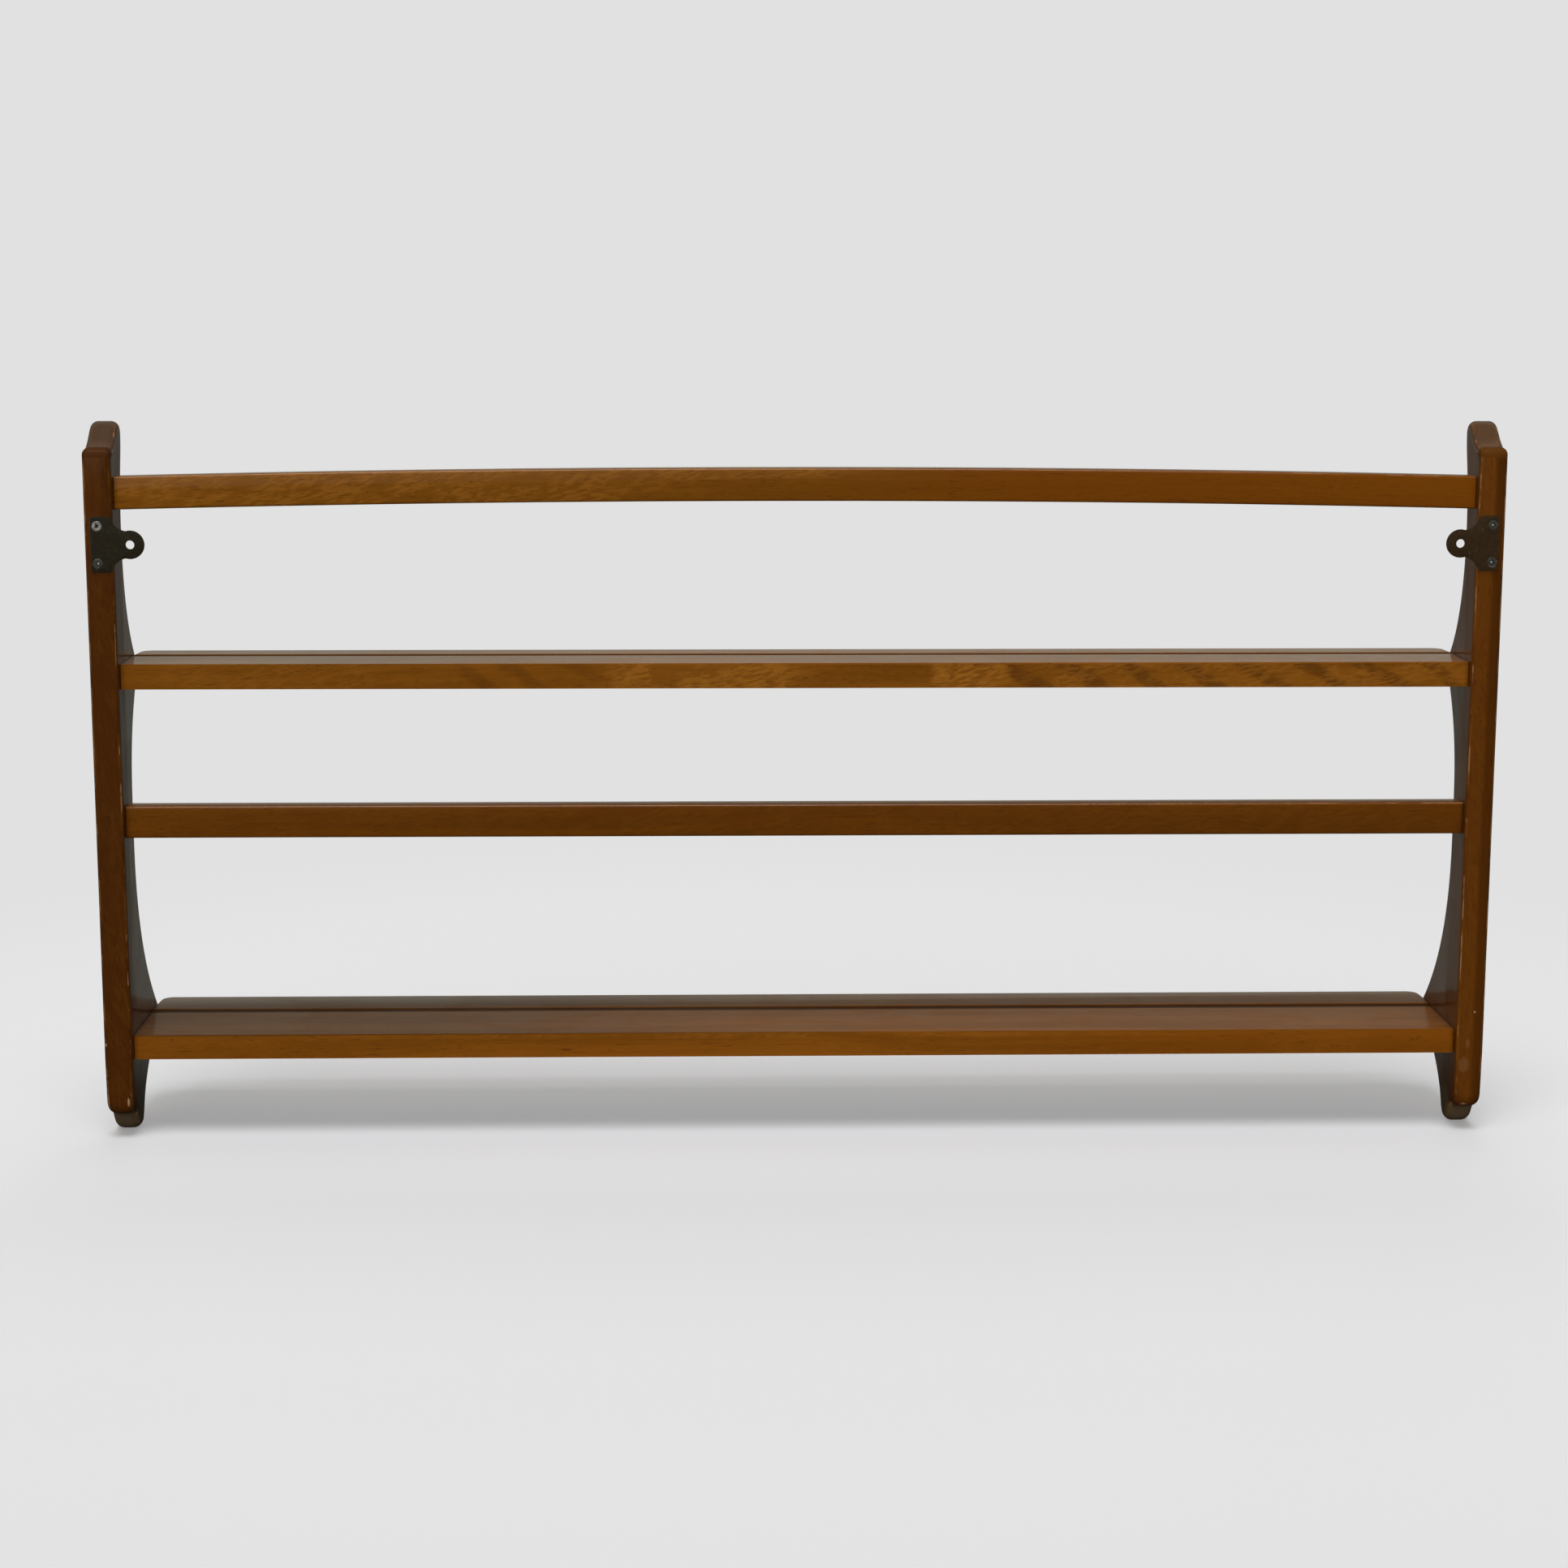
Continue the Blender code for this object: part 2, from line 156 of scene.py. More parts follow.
def calculate(tree: Tree, operation: str, *values: object) -> Socket:
    """Put values or sockets through a Math node and return its result."""
    return add_node(tree, "ShaderNodeMath", dict(enumerate(values)), operation=operation).outputs[0]


def ease(tree: Tree, value: Socket, low: float, high: float, top: object = 1.0) -> Socket:
    """Turn a value into a soft mask: 0 at low, top at high, in a smooth step between them.

    Args:
        tree: The node tree that gets the nodes.
        value: The value.
        low: Where the mask is 0.
        high: Where it reaches its top.
        top: The mask's top.

    Returns:
        The mask.
    """
    inputs = {"Value": value, "From Min": low, "From Max": high, "To Max": top}
    node = add_node(tree, "ShaderNodeMapRange", inputs, interpolation_type="SMOOTHSTEP")
    return node.outputs["Result"]


def blend(tree: Tree, amount: object, first: object, second: object) -> Socket:
    """Mix two colours; an amount of 0 gives the first and 1 the second.

    Args:
        tree: The node tree that gets the nodes.
        amount: The share of the second colour.
        first: The first colour.
        second: The second colour.

    Returns:
        The mixed colour.
    """
    node = add_node(tree, "ShaderNodeMix", data_type="RGBA")
    for number, value in ((0, amount), (6, first), (7, second)):
        if isinstance(value, Socket):
            tree.links.new(value, node.inputs[number])
        elif number:
            node.inputs[number].default_value = (*value, 1.0)
        else:
            node.inputs[number].default_value = value
    return node.outputs[2]


def stretched_noise(
    tree: Tree, vector: Socket, scale: Place, detail: float, distortion: float = 0.0
) -> Socket:
    """Noise whose cells are drawn out.

    Args:
        tree: The node tree that gets the nodes.
        vector: The coordinates in metres.
        scale: Cells per metre along each axis.
        detail: Number of finer layers.
        distortion: How far the cells are warped.

    Returns:
        The noise as a value around one half.
    """
    mapping = add_node(tree, "ShaderNodeMapping", {"Vector": vector, "Scale": scale})
    inputs = {"Vector": mapping.outputs[0], "Scale": 1.0, "Detail": detail, "Distortion": distortion}
    return add_node(tree, "ShaderNodeTexNoise", inputs).outputs["Fac"]


def new_group(
    name: str, inputs: dict[str, object], outputs: dict[str, str]
) -> tuple[Tree, Node, Node]:
    """Start a shader node group with named sockets.

    Args:
        name: The group's name.
        inputs: Each input's name with its default: a number or a vector.
        outputs: Each output's name with its socket type.

    Returns:
        The group, its input node and its output node.
    """
    group = bpy.data.node_groups.new(name, "ShaderNodeTree")
    for label, default in inputs.items():
        kind = "NodeSocketFloat" if isinstance(default, float) else "NodeSocketVector"
        socket = group.interface.new_socket(label, in_out="INPUT", socket_type=kind)
        socket.default_value = default
    for label, kind in outputs.items():
        group.interface.new_socket(label, in_out="OUTPUT", socket_type=kind)
    return group, group.nodes.new("NodeGroupInput"), group.nodes.new("NodeGroupOutput")


def grain_group() -> Tree:
    """Wood grain along X: broad bands, fine streaks, pores and a wavy figure.

    Returns:
        The node group.
    """
    inputs = {"Vector": (0.0, 0.0, 0.0), "Waviness": 1.0}
    outputs = {label: "NodeSocketFloat" for label in ("Bands", "Streaks", "Pores", "Figure", "Height")}
    group, start, end = new_group("Wood Grain", inputs, outputs)
    vector = start.outputs["Vector"]
    drift = stretched_noise(group, vector, (2.2, 14.0, 14.0), 2.0)
    shift = calculate(group, "MULTIPLY", calculate(group, "SUBTRACT", drift, 0.5), 0.05)
    shift = calculate(group, "MULTIPLY", shift, start.outputs["Waviness"])
    wander = add_node(group, "ShaderNodeCombineXYZ", {"Y": shift, "Z": shift})
    moved = add_node(
        group, "ShaderNodeVectorMath", {0: vector, 1: wander.outputs[0]}, operation="ADD"
    ).outputs[0]
    bands = ease(group, stretched_noise(group, moved, (1.6, 62.0, 62.0), 3.0, 0.3), 0.34, 0.66)
    streaks = ease(group, stretched_noise(group, moved, (7.0, 420.0, 420.0), 4.0), 0.36, 0.64)
    pores = ease(group, stretched_noise(group, moved, (70.0, 2100.0, 2100.0), 2.0), 0.60, 0.72)
    leaning = add_node(
        group, "ShaderNodeMapping", {"Vector": vector, "Rotation": (0.0, math.radians(-14.0), 0.0)}
    ).outputs[0]
    flecks = ease(group, stretched_noise(group, leaning, (110.0, 520.0, 520.0), 4.0, 0.5), 0.40, 0.56)
    clouds = ease(group, stretched_noise(group, leaning, (30.0, 75.0, 75.0), 3.0, 1.0), 0.34, 0.56)
    figure = calculate(group, "MULTIPLY", flecks, clouds)
    height = calculate(group, "MULTIPLY", streaks, 0.25)
    height = calculate(group, "SUBTRACT", height, pores)
    results = {"Bands": bands, "Streaks": streaks, "Pores": pores, "Figure": figure, "Height": height}
    for label, socket in results.items():
        group.links.new(socket, end.inputs[label])
    return group


def edge_group() -> Tree:
    """Rounded edges: where their finish is rubbed, and where it is gone in a broken line.

    The axis is square to the piece's broad faces; a rim is where the surface turns from lying
    across that axis to running along it.

    Returns:
        The node group.
    """
    inputs = {
        "Vector": (0.0, 0.0, 0.0), "Normal": (0.0, 0.0, 1.0), "Axis": (0.0, 0.0, 1.0), "Amount": 0.5
    }
    outputs = {label: "NodeSocketFloat" for label in ("Rubbed", "Bare")}
    group, start, end = new_group("Edge Wear", inputs, outputs)
    vector = start.outputs["Vector"]
    across = add_node(
        group,
        "ShaderNodeVectorMath",
        {0: start.outputs["Normal"], 1: start.outputs["Axis"]},
        operation="DOT_PRODUCT",
    ).outputs["Value"]
    across = calculate(group, "ABSOLUTE", across)
    rest = calculate(group, "SUBTRACT", 1.0, calculate(group, "MULTIPLY", across, across))
    flat = calculate(group, "MAXIMUM", across, calculate(group, "SQRT", rest))
    edge = ease(group, calculate(group, "SUBTRACT", 1.0, flat), 0.04, 0.22)
    ridge = ease(group, calculate(group, "SUBTRACT", 1.0, flat), 0.17, 0.27)
    broad = ease(group, stretched_noise(group, vector, (26.0, 26.0, 26.0), 3.0), 0.40, 0.66)
    rubbed = calculate(group, "MULTIPLY", edge, broad)
    rubbed = calculate(group, "MULTIPLY", rubbed, start.outputs["Amount"])
    nicks = ease(group, stretched_noise(group, vector, (60.0, 160.0, 160.0), 4.0, 0.6), 0.50, 0.64)
    bare = calculate(group, "MULTIPLY", ridge, nicks)
    bare = calculate(group, "MULTIPLY", bare, start.outputs["Amount"])
    for label, socket in {"Rubbed": rubbed, "Bare": bare}.items():
        group.links.new(socket, end.inputs[label])
    return group


def handling_group() -> Tree:
    """Traces of use: smudges that dull the gloss, and thin scratches in no one direction.

    Returns:
        The node group.
    """
    group, start, end = new_group(
        "Handling",
        {"Vector": (0.0, 0.0, 0.0), "Scale": 1.0},
        {"Smudge": "NodeSocketFloat", "Scratch": "NodeSocketFloat"},
    )
    scaled = add_node(
        group, "ShaderNodeVectorMath", {0: start.outputs[0], "Scale": start.outputs[1]}, operation="SCALE"
    ).outputs[0]
    smudge = ease(group, stretched_noise(group, scaled, (18.0, 24.0, 24.0), 4.0, 0.8), 0.38, 0.70)
    lines = None
    for turn, seed in ((0.5, 0.0), (1.9, 3.1)):
        turned = add_node(
            group,
            "ShaderNodeMapping",
            {"Vector": scaled, "Location": (seed, seed, seed), "Rotation": (turn, turn, turn)},
        )
        line = stretched_noise(group, turned.outputs[0], (12.0, 900.0, 900.0), 1.0)
        line = ease(group, line, 0.72, 0.78)
        lines = calculate(group, "MAXIMUM", lines, line) if lines else line
    group.links.new(smudge, end.inputs["Smudge"])
    group.links.new(lines, end.inputs["Scratch"])
    return group


# ---------------------------------------------------------------------------------------------
# Finishes


@dataclass(frozen=True)
class Mark:
    """A small round place in a finish with a colour of its own: a blemish, or painted shade, painted light
    or painted reflection.

    Attributes:
        centre: Its middle, in the row frame.
        size: Its half extent along each axis.
        colour: What shows there.
        strength: How fully it covers the finish.
        raggedness: How far its rim wanders.
    """

    centre: Place
    size: Place
    colour: Colour = (0.42, 0.24, 0.12)
    strength: float = 1.0
    raggedness: float = 0.5

    def mask(self, tree: Tree, vector: Socket) -> Socket:
        """Build the mark's soft mask from object coordinates.

        Args:
            tree: The material's node tree.
            vector: Object coordinates.

        Returns:
            A mask that is the mark's strength in its middle and 0 outside it.
        """
        place = tuple(-c / s for c, s in zip(self.centre, self.size))
        scale = tuple(1.0 / s for s in self.size)
        mapping = add_node(
            tree, "ShaderNodeMapping", {"Vector": vector, "Location": place, "Scale": scale}
        )
        length = add_node(
            tree, "ShaderNodeVectorMath", {0: mapping.outputs[0]}, operation="LENGTH"
        ).outputs["Value"]
        wobble = stretched_noise(tree, mapping.outputs[0], (1.7, 1.7, 1.7), 3.0)
        wobble = calculate(tree, "MULTIPLY", calculate(tree, "SUBTRACT", wobble, 0.5), self.raggedness)
        return ease(tree, calculate(tree, "ADD", length, wobble), 1.0, 0.6, self.strength)


@dataclass(frozen=True)
class WoodFinish:
    """Stained wood under satin lacquer.

    Attributes:
        name: The material's name.
        grain: The way the fibres run.
        ground: The stain's middle colour.
        dark: The colour of late wood and dark bands.
        golden: The colour of the lit figure.
        figure: How strong the golden figure is where no patch raises it.
        patches: Stretches with more golden figure.
        stripes: Stretches where dark stripes cross the fibres at a slant.
        shades: Broad places with another colour: the wood's own tone, or painted shade, painted light or
            painted reflection.
        marks: Specks, rubbed spots, and the painted shade with dirt in routed grooves, where little lacquer
            is left.
        waviness: How far the fibres wander.
        wear: How worn the edges are.
        seed: Moves the pattern, so that no two boards match.
        bare: The colour where the edges have lost their stain.
        pore: The colour of the pores.
        roughness: How matt the wood is under its lacquer.
        sheen: How strongly the wood itself mirrors.
        film: How much lacquer is left.
        film_roughness: How matt the lacquer is.
        film_ior: The lacquer's index of refraction.
    """

    name: str
    grain: Grain
    ground: Colour
    dark: Colour
    golden: Colour = (0.43, 0.160, 0.018)
    figure: float = 0.06
    patches: tuple[Mark, ...] = ()
    stripes: tuple[Mark, ...] = ()
    shades: tuple[Mark, ...] = ()
    marks: tuple[Mark, ...] = ()
    waviness: float = 1.0
    wear: float = 1.2
    seed: float = 0.0
    bare: Colour = (0.42, 0.22, 0.11)
    pore: Colour = (0.030, 0.010, 0.003)
    roughness: float = 0.42
    sheen: float = 0.05
    film: float = 0.85
    film_roughness: float = 0.10
    film_ior: float = 1.48

    def build(self, groups: "Groups") -> Material:
        """Build the finish.

        Args:
            groups: The shared node groups.

        Returns:
            The material.
        """
        material, tree, shader = blank_material(self.name)
        coordinates = add_node(tree, "ShaderNodeTexCoord")
        place = coordinates.outputs["Object"]
        along = add_node(
            tree,
            "ShaderNodeMapping",
            {"Vector": place, "Location": (self.seed,) * 3, "Rotation": self.grain.value},
        ).outputs[0]
        grain = add_group(tree, groups.grain, {"Vector": along, "Waviness": self.waviness})
        edges = add_group(
            tree,
            groups.edge,
            {
                "Vector": along,
                "Normal": coordinates.outputs["Normal"],
                "Axis": self.grain.broad_axis,
                "Amount": self.wear,
            },
        )
        handling = add_group(tree, groups.handling, {"Vector": along, "Scale": 1.0})

        bands = calculate(tree, "MULTIPLY", grain.outputs["Bands"], BAND_DEPTH)
        colour = blend(tree, bands, self.ground, self.dark)
        fine = calculate(tree, "MULTIPLY", grain.outputs["Streaks"], STREAK_DEPTH)
        colour = blend(tree, fine, colour, self.dark)
        for stretch in self.stripes:
            crossing = calculate(tree, "MULTIPLY", self.slant(tree, along), stretch.mask(tree, place))
            colour = blend(tree, crossing, colour, stretch.colour)
        amount = calculate(tree, "MULTIPLY", grain.outputs["Figure"], self.figure)
        for patch in self.patches:
            lit = calculate(
                tree, "MULTIPLY_ADD", grain.outputs["Figure"], 1.0 - PATCH_GROUND, PATCH_GROUND
            )
            lit = calculate(tree, "MULTIPLY", lit, patch.mask(tree, place))
            amount = calculate(tree, "MAXIMUM", amount, lit)
        colour = blend(tree, amount, colour, self.golden)
        # Broad places of another colour; some are painted shade, painted light or painted reflection.
        for shade in self.shades:
            colour = blend(tree, shade.mask(tree, place), colour, shade.colour)
        pores = calculate(tree, "MULTIPLY", grain.outputs["Pores"], PORE_DEPTH)
        colour = blend(tree, pores, colour, self.pore)
        rubbed = calculate(tree, "MULTIPLY", edges.outputs["Rubbed"], RUB_DEPTH)
        colour = blend(tree, rubbed, colour, self.golden)
        worn = edges.outputs["Bare"]
        colour = blend(tree, worn, colour, self.bare)
        # Specks, rubbed spots and the grooves' painted shade with dirt, each also taking lacquer away.
        for mark in self.marks:
            spot = mark.mask(tree, place)
            colour = blend(tree, spot, colour, mark.colour)
            worn = calculate(tree, "MAXIMUM", worn, spot)
        tree.links.new(colour, shader.inputs["Base Color"])

        dull = calculate(tree, "MULTIPLY_ADD", handling.outputs["Smudge"], 0.12, self.roughness)
        dull = calculate(tree, "MULTIPLY_ADD", worn, 0.25, dull)
        tree.links.new(dull, shader.inputs["Roughness"])
        film = calculate(tree, "MULTIPLY_ADD", handling.outputs["Smudge"], -0.12, self.film)
        film = calculate(tree, "MULTIPLY_ADD", worn, -0.70, film)
        tree.links.new(film, shader.inputs["Coat Weight"])
        shader.inputs["Coat Roughness"].default_value = self.film_roughness
        shader.inputs["Coat IOR"].default_value = self.film_ior
        shader.inputs["Specular IOR Level"].default_value = self.sheen

        height = calculate(tree, "MULTIPLY_ADD", handling.outputs["Scratch"], -0.6, grain.outputs["Height"])
        height = calculate(tree, "MULTIPLY_ADD", worn, -1.5, height)
        add_bump(tree, shader, height, strength=0.30, distance=0.00010)
        return material

    @staticmethod
    def slant(tree: Tree, along: Socket) -> Socket:
        """Slanting stripes with soft rims, some 40 mm apart along the board.

        Args:
            tree: The node tree that gets the nodes.
            along: Coordinates that run along the board.

        Returns:
            A mask that is 1 in the stripes.
        """
        inputs = {"Vector": along, "Rotation": (0.0, math.radians(-55.0), 0.0), "Scale": (13.0, 13.0, 13.0)}
        turned = add_node(tree, "ShaderNodeMapping", inputs).outputs[0]
        inputs = {"Vector": turned, "Scale": 1.0, "Distortion": 2.6, "Detail": 2.0, "Detail Scale": 1.4}
        wave = add_node(tree, "ShaderNodeTexWave", inputs, bands_direction="X").outputs["Fac"]
        return ease(tree, wave, 0.45, 0.95)


@dataclass(frozen=True)
class MetalFinish:
    """Metal that is blackened, or bare and tarnished.

    Attributes:
        name: The material's name.
        colour: The metal's main colour.
        tarnish: The colour of its dull places.
        metallic: How much of the surface is bare metal.
        roughness: How matt it is.
        shine: The colour of rubbed edges.
        sheen: How strongly its black skin mirrors.
        polish: How much of the edges is rubbed.
        recess_black: How black the recesses are, below the plane of the wall.
        painted_glints: Small painted highlights, bright spots in the colour.
        seed: Moves the pattern.
    """

    name: str
    colour: Colour
    tarnish: Colour
    metallic: float
    roughness: float
    shine: Colour = (0.60, 0.57, 0.52)
    sheen: float = 0.5
    polish: float = 0.4
    recess_black: float = 0.0
    painted_glints: tuple[Mark, ...] = ()
    seed: float = 0.0

    def build(self, groups: "Groups") -> Material:
        """Build the finish.

        Args:
            groups: The shared node groups.

        Returns:
            The material.
        """
        material, tree, shader = blank_material(self.name)
        coordinates = add_node(tree, "ShaderNodeTexCoord")
        place = add_node(
            tree,
            "ShaderNodeMapping",
            {"Vector": coordinates.outputs["Object"], "Location": (self.seed,) * 3},
        ).outputs[0]
        handling = add_group(tree, groups.handling, {"Vector": place, "Scale": 6.0})
        edges = add_group(
            tree,
            groups.edge,
            {
                "Vector": place,
                "Normal": coordinates.outputs["Normal"],
                "Axis": (0.0, 1.0, 0.0),
                "Amount": self.polish,
            },
        )
        blotches = ease(tree, stretched_noise(tree, place, (320.0, 320.0, 320.0), 4.0, 0.5), 0.36, 0.66)
        colour = blend(tree, blotches, self.colour, self.tarnish)
        bright = calculate(tree, "MAXIMUM", edges.outputs["Rubbed"], edges.outputs["Bare"])
        colour = blend(tree, bright, colour, self.shine)
        scratch = calculate(tree, "MULTIPLY", handling.outputs["Scratch"], 0.25)
        colour = blend(tree, scratch, colour, self.shine)
        # Darker in the recesses below the plane of the wall.
        if self.recess_black:
            sunk = add_node(tree, "ShaderNodeSeparateXYZ", {0: coordinates.outputs["Object"]})
            recess_mask = ease(tree, sunk.outputs["Y"], -0.0002, -0.0005, self.recess_black)
            colour = blend(tree, recess_mask, colour, (0.006, 0.005, 0.004))
        # Painted highlights: small bright spots blended into the colour.
        for painted_glint in self.painted_glints:
            colour = blend(tree, painted_glint.mask(tree, coordinates.outputs["Object"]), colour, painted_glint.colour)
        tree.links.new(colour, shader.inputs["Base Color"])
        metal = calculate(tree, "MAXIMUM", bright, self.metallic)
        tree.links.new(metal, shader.inputs["Metallic"])
        shader.inputs["Specular IOR Level"].default_value = self.sheen
        dull = calculate(tree, "MULTIPLY_ADD", blotches, 0.16, self.roughness)
        dull = calculate(tree, "MULTIPLY_ADD", handling.outputs["Smudge"], 0.08, dull)
        tree.links.new(dull, shader.inputs["Roughness"])
        height = calculate(tree, "MULTIPLY_ADD", handling.outputs["Scratch"], -0.8, blotches)
        add_bump(tree, shader, height, strength=0.35, distance=0.00006)
        return material


@dataclass(frozen=True)
class Groups:
    """The node groups that all finishes share.

    Attributes:
        grain: Wood grain.
        edge: Wear along rounded edges.
        handling: Smudges and scratches.
    """

    grain: Tree
    edge: Tree
    handling: Tree


def blank_material(name: str) -> tuple[Material, Tree, Node]:
    """Make a material with nodes and return it with its tree and its Principled shader.

    Args:
        name: The material's name.

    Returns:
        The material, its node tree and its shader.
    """
    material = bpy.data.materials.new(name)
    material.use_nodes = True
    tree = material.node_tree
    return material, tree, tree.nodes["Principled BSDF"]


def add_group(
    tree: Tree, group: Tree, inputs: dict[str, object]
) -> Node:
    """Place a shared group in a material and feed it."""
    return add_node(tree, "ShaderNodeGroup", inputs, node_tree=group)


def add_bump(
    tree: Tree, shader: Node, height: Socket, strength: float, distance: float
) -> None:
    """Feed the shader's normal from a height.

    Args:
        tree: The node tree that gets the nodes.
        shader: The Principled shader.
        height: The height.
        strength: How strongly it shows.
        distance: The height's unit, in metres.
    """
    inputs = {"Height": height, "Strength": strength, "Distance": distance}
    bump = add_node(tree, "ShaderNodeBump", inputs)
    tree.links.new(bump.outputs["Normal"], shader.inputs["Normal"])


# ---------------------------------------------------------------------------------------------
# Bench work


def deselect() -> None:
    """Leave object mode ready, with nothing selected."""
    if bpy.context.mode != "OBJECT":
        bpy.ops.object.mode_set(mode="OBJECT")
    bpy.ops.object.select_all(action="DESELECT")


def take(piece: Piece) -> None:
    """Select one piece alone and make it active.

    Args:
        piece: The piece.
    """
    deselect()
    piece.select_set(True)
    bpy.context.view_layer.objects.active = piece


def apply_place(piece: Piece) -> None:
    """Move a piece's place, turn and scale into its mesh."""
    take(piece)
    bpy.ops.object.transform_apply(location=True, rotation=True, scale=True)


def select_edges(piece: Piece, test: Callable[[Vector, Vector], bool]) -> None:
    """Select, in edit mode, the edges whose two ends pass a test.

    Args:
        piece: The piece in edit mode.
        test: Tells from an edge's ends whether to select it.
    """
    bpy.ops.mesh.select_mode(type="EDGE")
    bpy.ops.mesh.select_all(action="DESELECT")
    shape = bmesh.from_edit_mesh(piece.data)
    for edge in shape.edges:
        edge.select_set(test(edge.verts[0].co, edge.verts[1].co))
    bmesh.update_edit_mesh(piece.data)


def select_points(piece: Piece, test: Callable[[Vector], bool]) -> None:
    """Select, in edit mode, the vertices that pass a test.

    Args:
        piece: The piece in edit mode.
        test: Tells from a vertex whether to select it.
    """
    bpy.ops.mesh.select_mode(type="VERT")
    bpy.ops.mesh.select_all(action="DESELECT")
    shape = bmesh.from_edit_mesh(piece.data)
    for vert in shape.verts:
        vert.select_set(test(vert.co))
    shape.select_flush(True)
    bmesh.update_edit_mesh(piece.data)


def select_faces(piece: Piece, test: Callable[[Vector, Vector], bool]) -> None:
    """Select, in edit mode, the faces whose middle and normal pass a test.

    Args:
        piece: The piece in edit mode.
        test: Tells from a face's middle and normal whether to select it.
    """
    bpy.ops.mesh.select_mode(type="FACE")
    bpy.ops.mesh.select_all(action="DESELECT")
    shape = bmesh.from_edit_mesh(piece.data)
    for face in shape.faces:
        face.select_set(test(face.calc_center_median(), face.normal))
    bmesh.update_edit_mesh(piece.data)


def near(first: float, second: float) -> bool:
    """Tell whether two places are the same."""
    return abs(first - second) < CLOSE


def round_selected(radius: float, segments: int) -> None:
    """Bevel the selected edges to a round of that radius."""
    bpy.ops.mesh.bevel(
        offset=radius, offset_type="OFFSET", segments=segments, profile=0.5, affect="EDGES",
        clamp_overlap=False,
    )


def cut_away(piece: Piece, cutter: Piece) -> None:
    """Subtract a closed cutter from a piece, and remove the cutter.

    Args:
        piece: The piece to cut.
        cutter: The closed shape to take away.
    """
    take(piece)
    boolean = piece.modifiers.new("cut", "BOOLEAN")
    boolean.operation = "DIFFERENCE"
    boolean.solver = "EXACT"
    boolean.object = cutter
    bpy.ops.object.modifier_apply(modifier=boolean.name)
    bpy.data.objects.remove(cutter, do_unlink=True)


def mirrored(piece: Piece, name: str) -> Piece:
    """Copy a piece to the rack's other end, with a mesh of its own.

    Args:
        piece: The piece to copy.
        name: The copy's name.

    Returns:
        The mirrored copy.
    """
    take(piece)
    bpy.ops.object.duplicate()
    copy = bpy.context.active_object
    copy.name = name
    copy.data.name = name
    copy.data.materials.clear()
    copy.scale.x = -1.0
    apply_place(copy)
    bpy.ops.object.mode_set(mode="EDIT")
    bpy.ops.mesh.select_all(action="SELECT")
    bpy.ops.mesh.normals_make_consistent(inside=False)
    bpy.ops.object.mode_set(mode="OBJECT")
    return copy


def finish_piece(
    piece: Piece, material: Material, node: str, angle: float = 38.0
) -> None:
    """Shade a finished piece, dress it and set it in the frame.

    Args:
        piece: The finished piece, with its place in its mesh.
        material: Its finish.
        node: The CAD node that it stands for.
        angle: Edges sharper than this, in degrees, stay crisp.
    """
    take(piece)
    bpy.ops.object.shade_smooth_by_angle(angle=math.radians(angle))
    piece.data.materials.clear()
    piece.data.materials.append(material)
    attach(piece, BODY)
    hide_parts(node)
    LOG.info("%s: %d faces", piece.name, len(piece.data.polygons))


def bezier_outline(
    name: str, points: list[tuple[Vector, Vector, Vector]], resolution: int
) -> Piece:
    """Draw a closed outline as a curve, make it a mesh and fill it with one face.

    Args:
        name: The piece's name.
        points: Each point with its handle before and its handle after.
        resolution: Steps between two points.

    Returns:
        A flat piece with one face.
    """
    deselect()
    bpy.ops.curve.primitive_bezier_curve_add(location=(0.0, 0.0, 0.0))
    outline = bpy.context.active_object
    outline.name = name
    spline = outline.data.splines[0]
    spline.bezier_points.add(len(points) - len(spline.bezier_points))
    for knot, (point, before, after) in zip(spline.bezier_points, points):
        knot.handle_left_type = "FREE"
        knot.handle_right_type = "FREE"
        knot.co = point
        knot.handle_left = before
        knot.handle_right = after
    spline.use_cyclic_u = True
    outline.data.resolution_u = resolution
    bpy.ops.object.convert(target="MESH")
    piece = bpy.context.active_object
    bpy.ops.object.mode_set(mode="EDIT")
    bpy.ops.mesh.select_all(action="SELECT")
    bpy.ops.mesh.remove_doubles(threshold=CLOSE)
    bpy.ops.mesh.edge_face_add()
    bpy.ops.object.mode_set(mode="OBJECT")
    return piece


def thicken(piece: Piece, step: Place) -> None:
    """Extrude a flat piece by a step, and turn its faces outwards; leaves edit mode on.

    Args:
        piece: The flat piece.
        step: The way and length to extrude.
    """
    take(piece)
    bpy.ops.object.mode_set(mode="EDIT")
    bpy.ops.mesh.select_all(action="SELECT")
    bpy.ops.mesh.extrude_region_move(TRANSFORM_OT_translate={"value": step})
    bpy.ops.mesh.select_all(action="SELECT")
    bpy.ops.mesh.normals_make_consistent(inside=False)


def box_from(name: str, low: Vector, high: Vector) -> Piece:
    """Add a cube that fills a box.

    Args:
        name: The piece's name.
        low: The box's lowest corner.
        high: The box's highest corner.

    Returns:
        The cube, with its place in its mesh.
    """
    deselect()
    bpy.ops.mesh.primitive_cube_add(size=1.0, location=(low + high) / 2)
    piece = bpy.context.active_object
    piece.name = name
    piece.data.name = name
    piece.scale = high - low
    apply_place(piece)
    return piece


# ---------------------------------------------------------------------------------------------
# Sub-assemblies


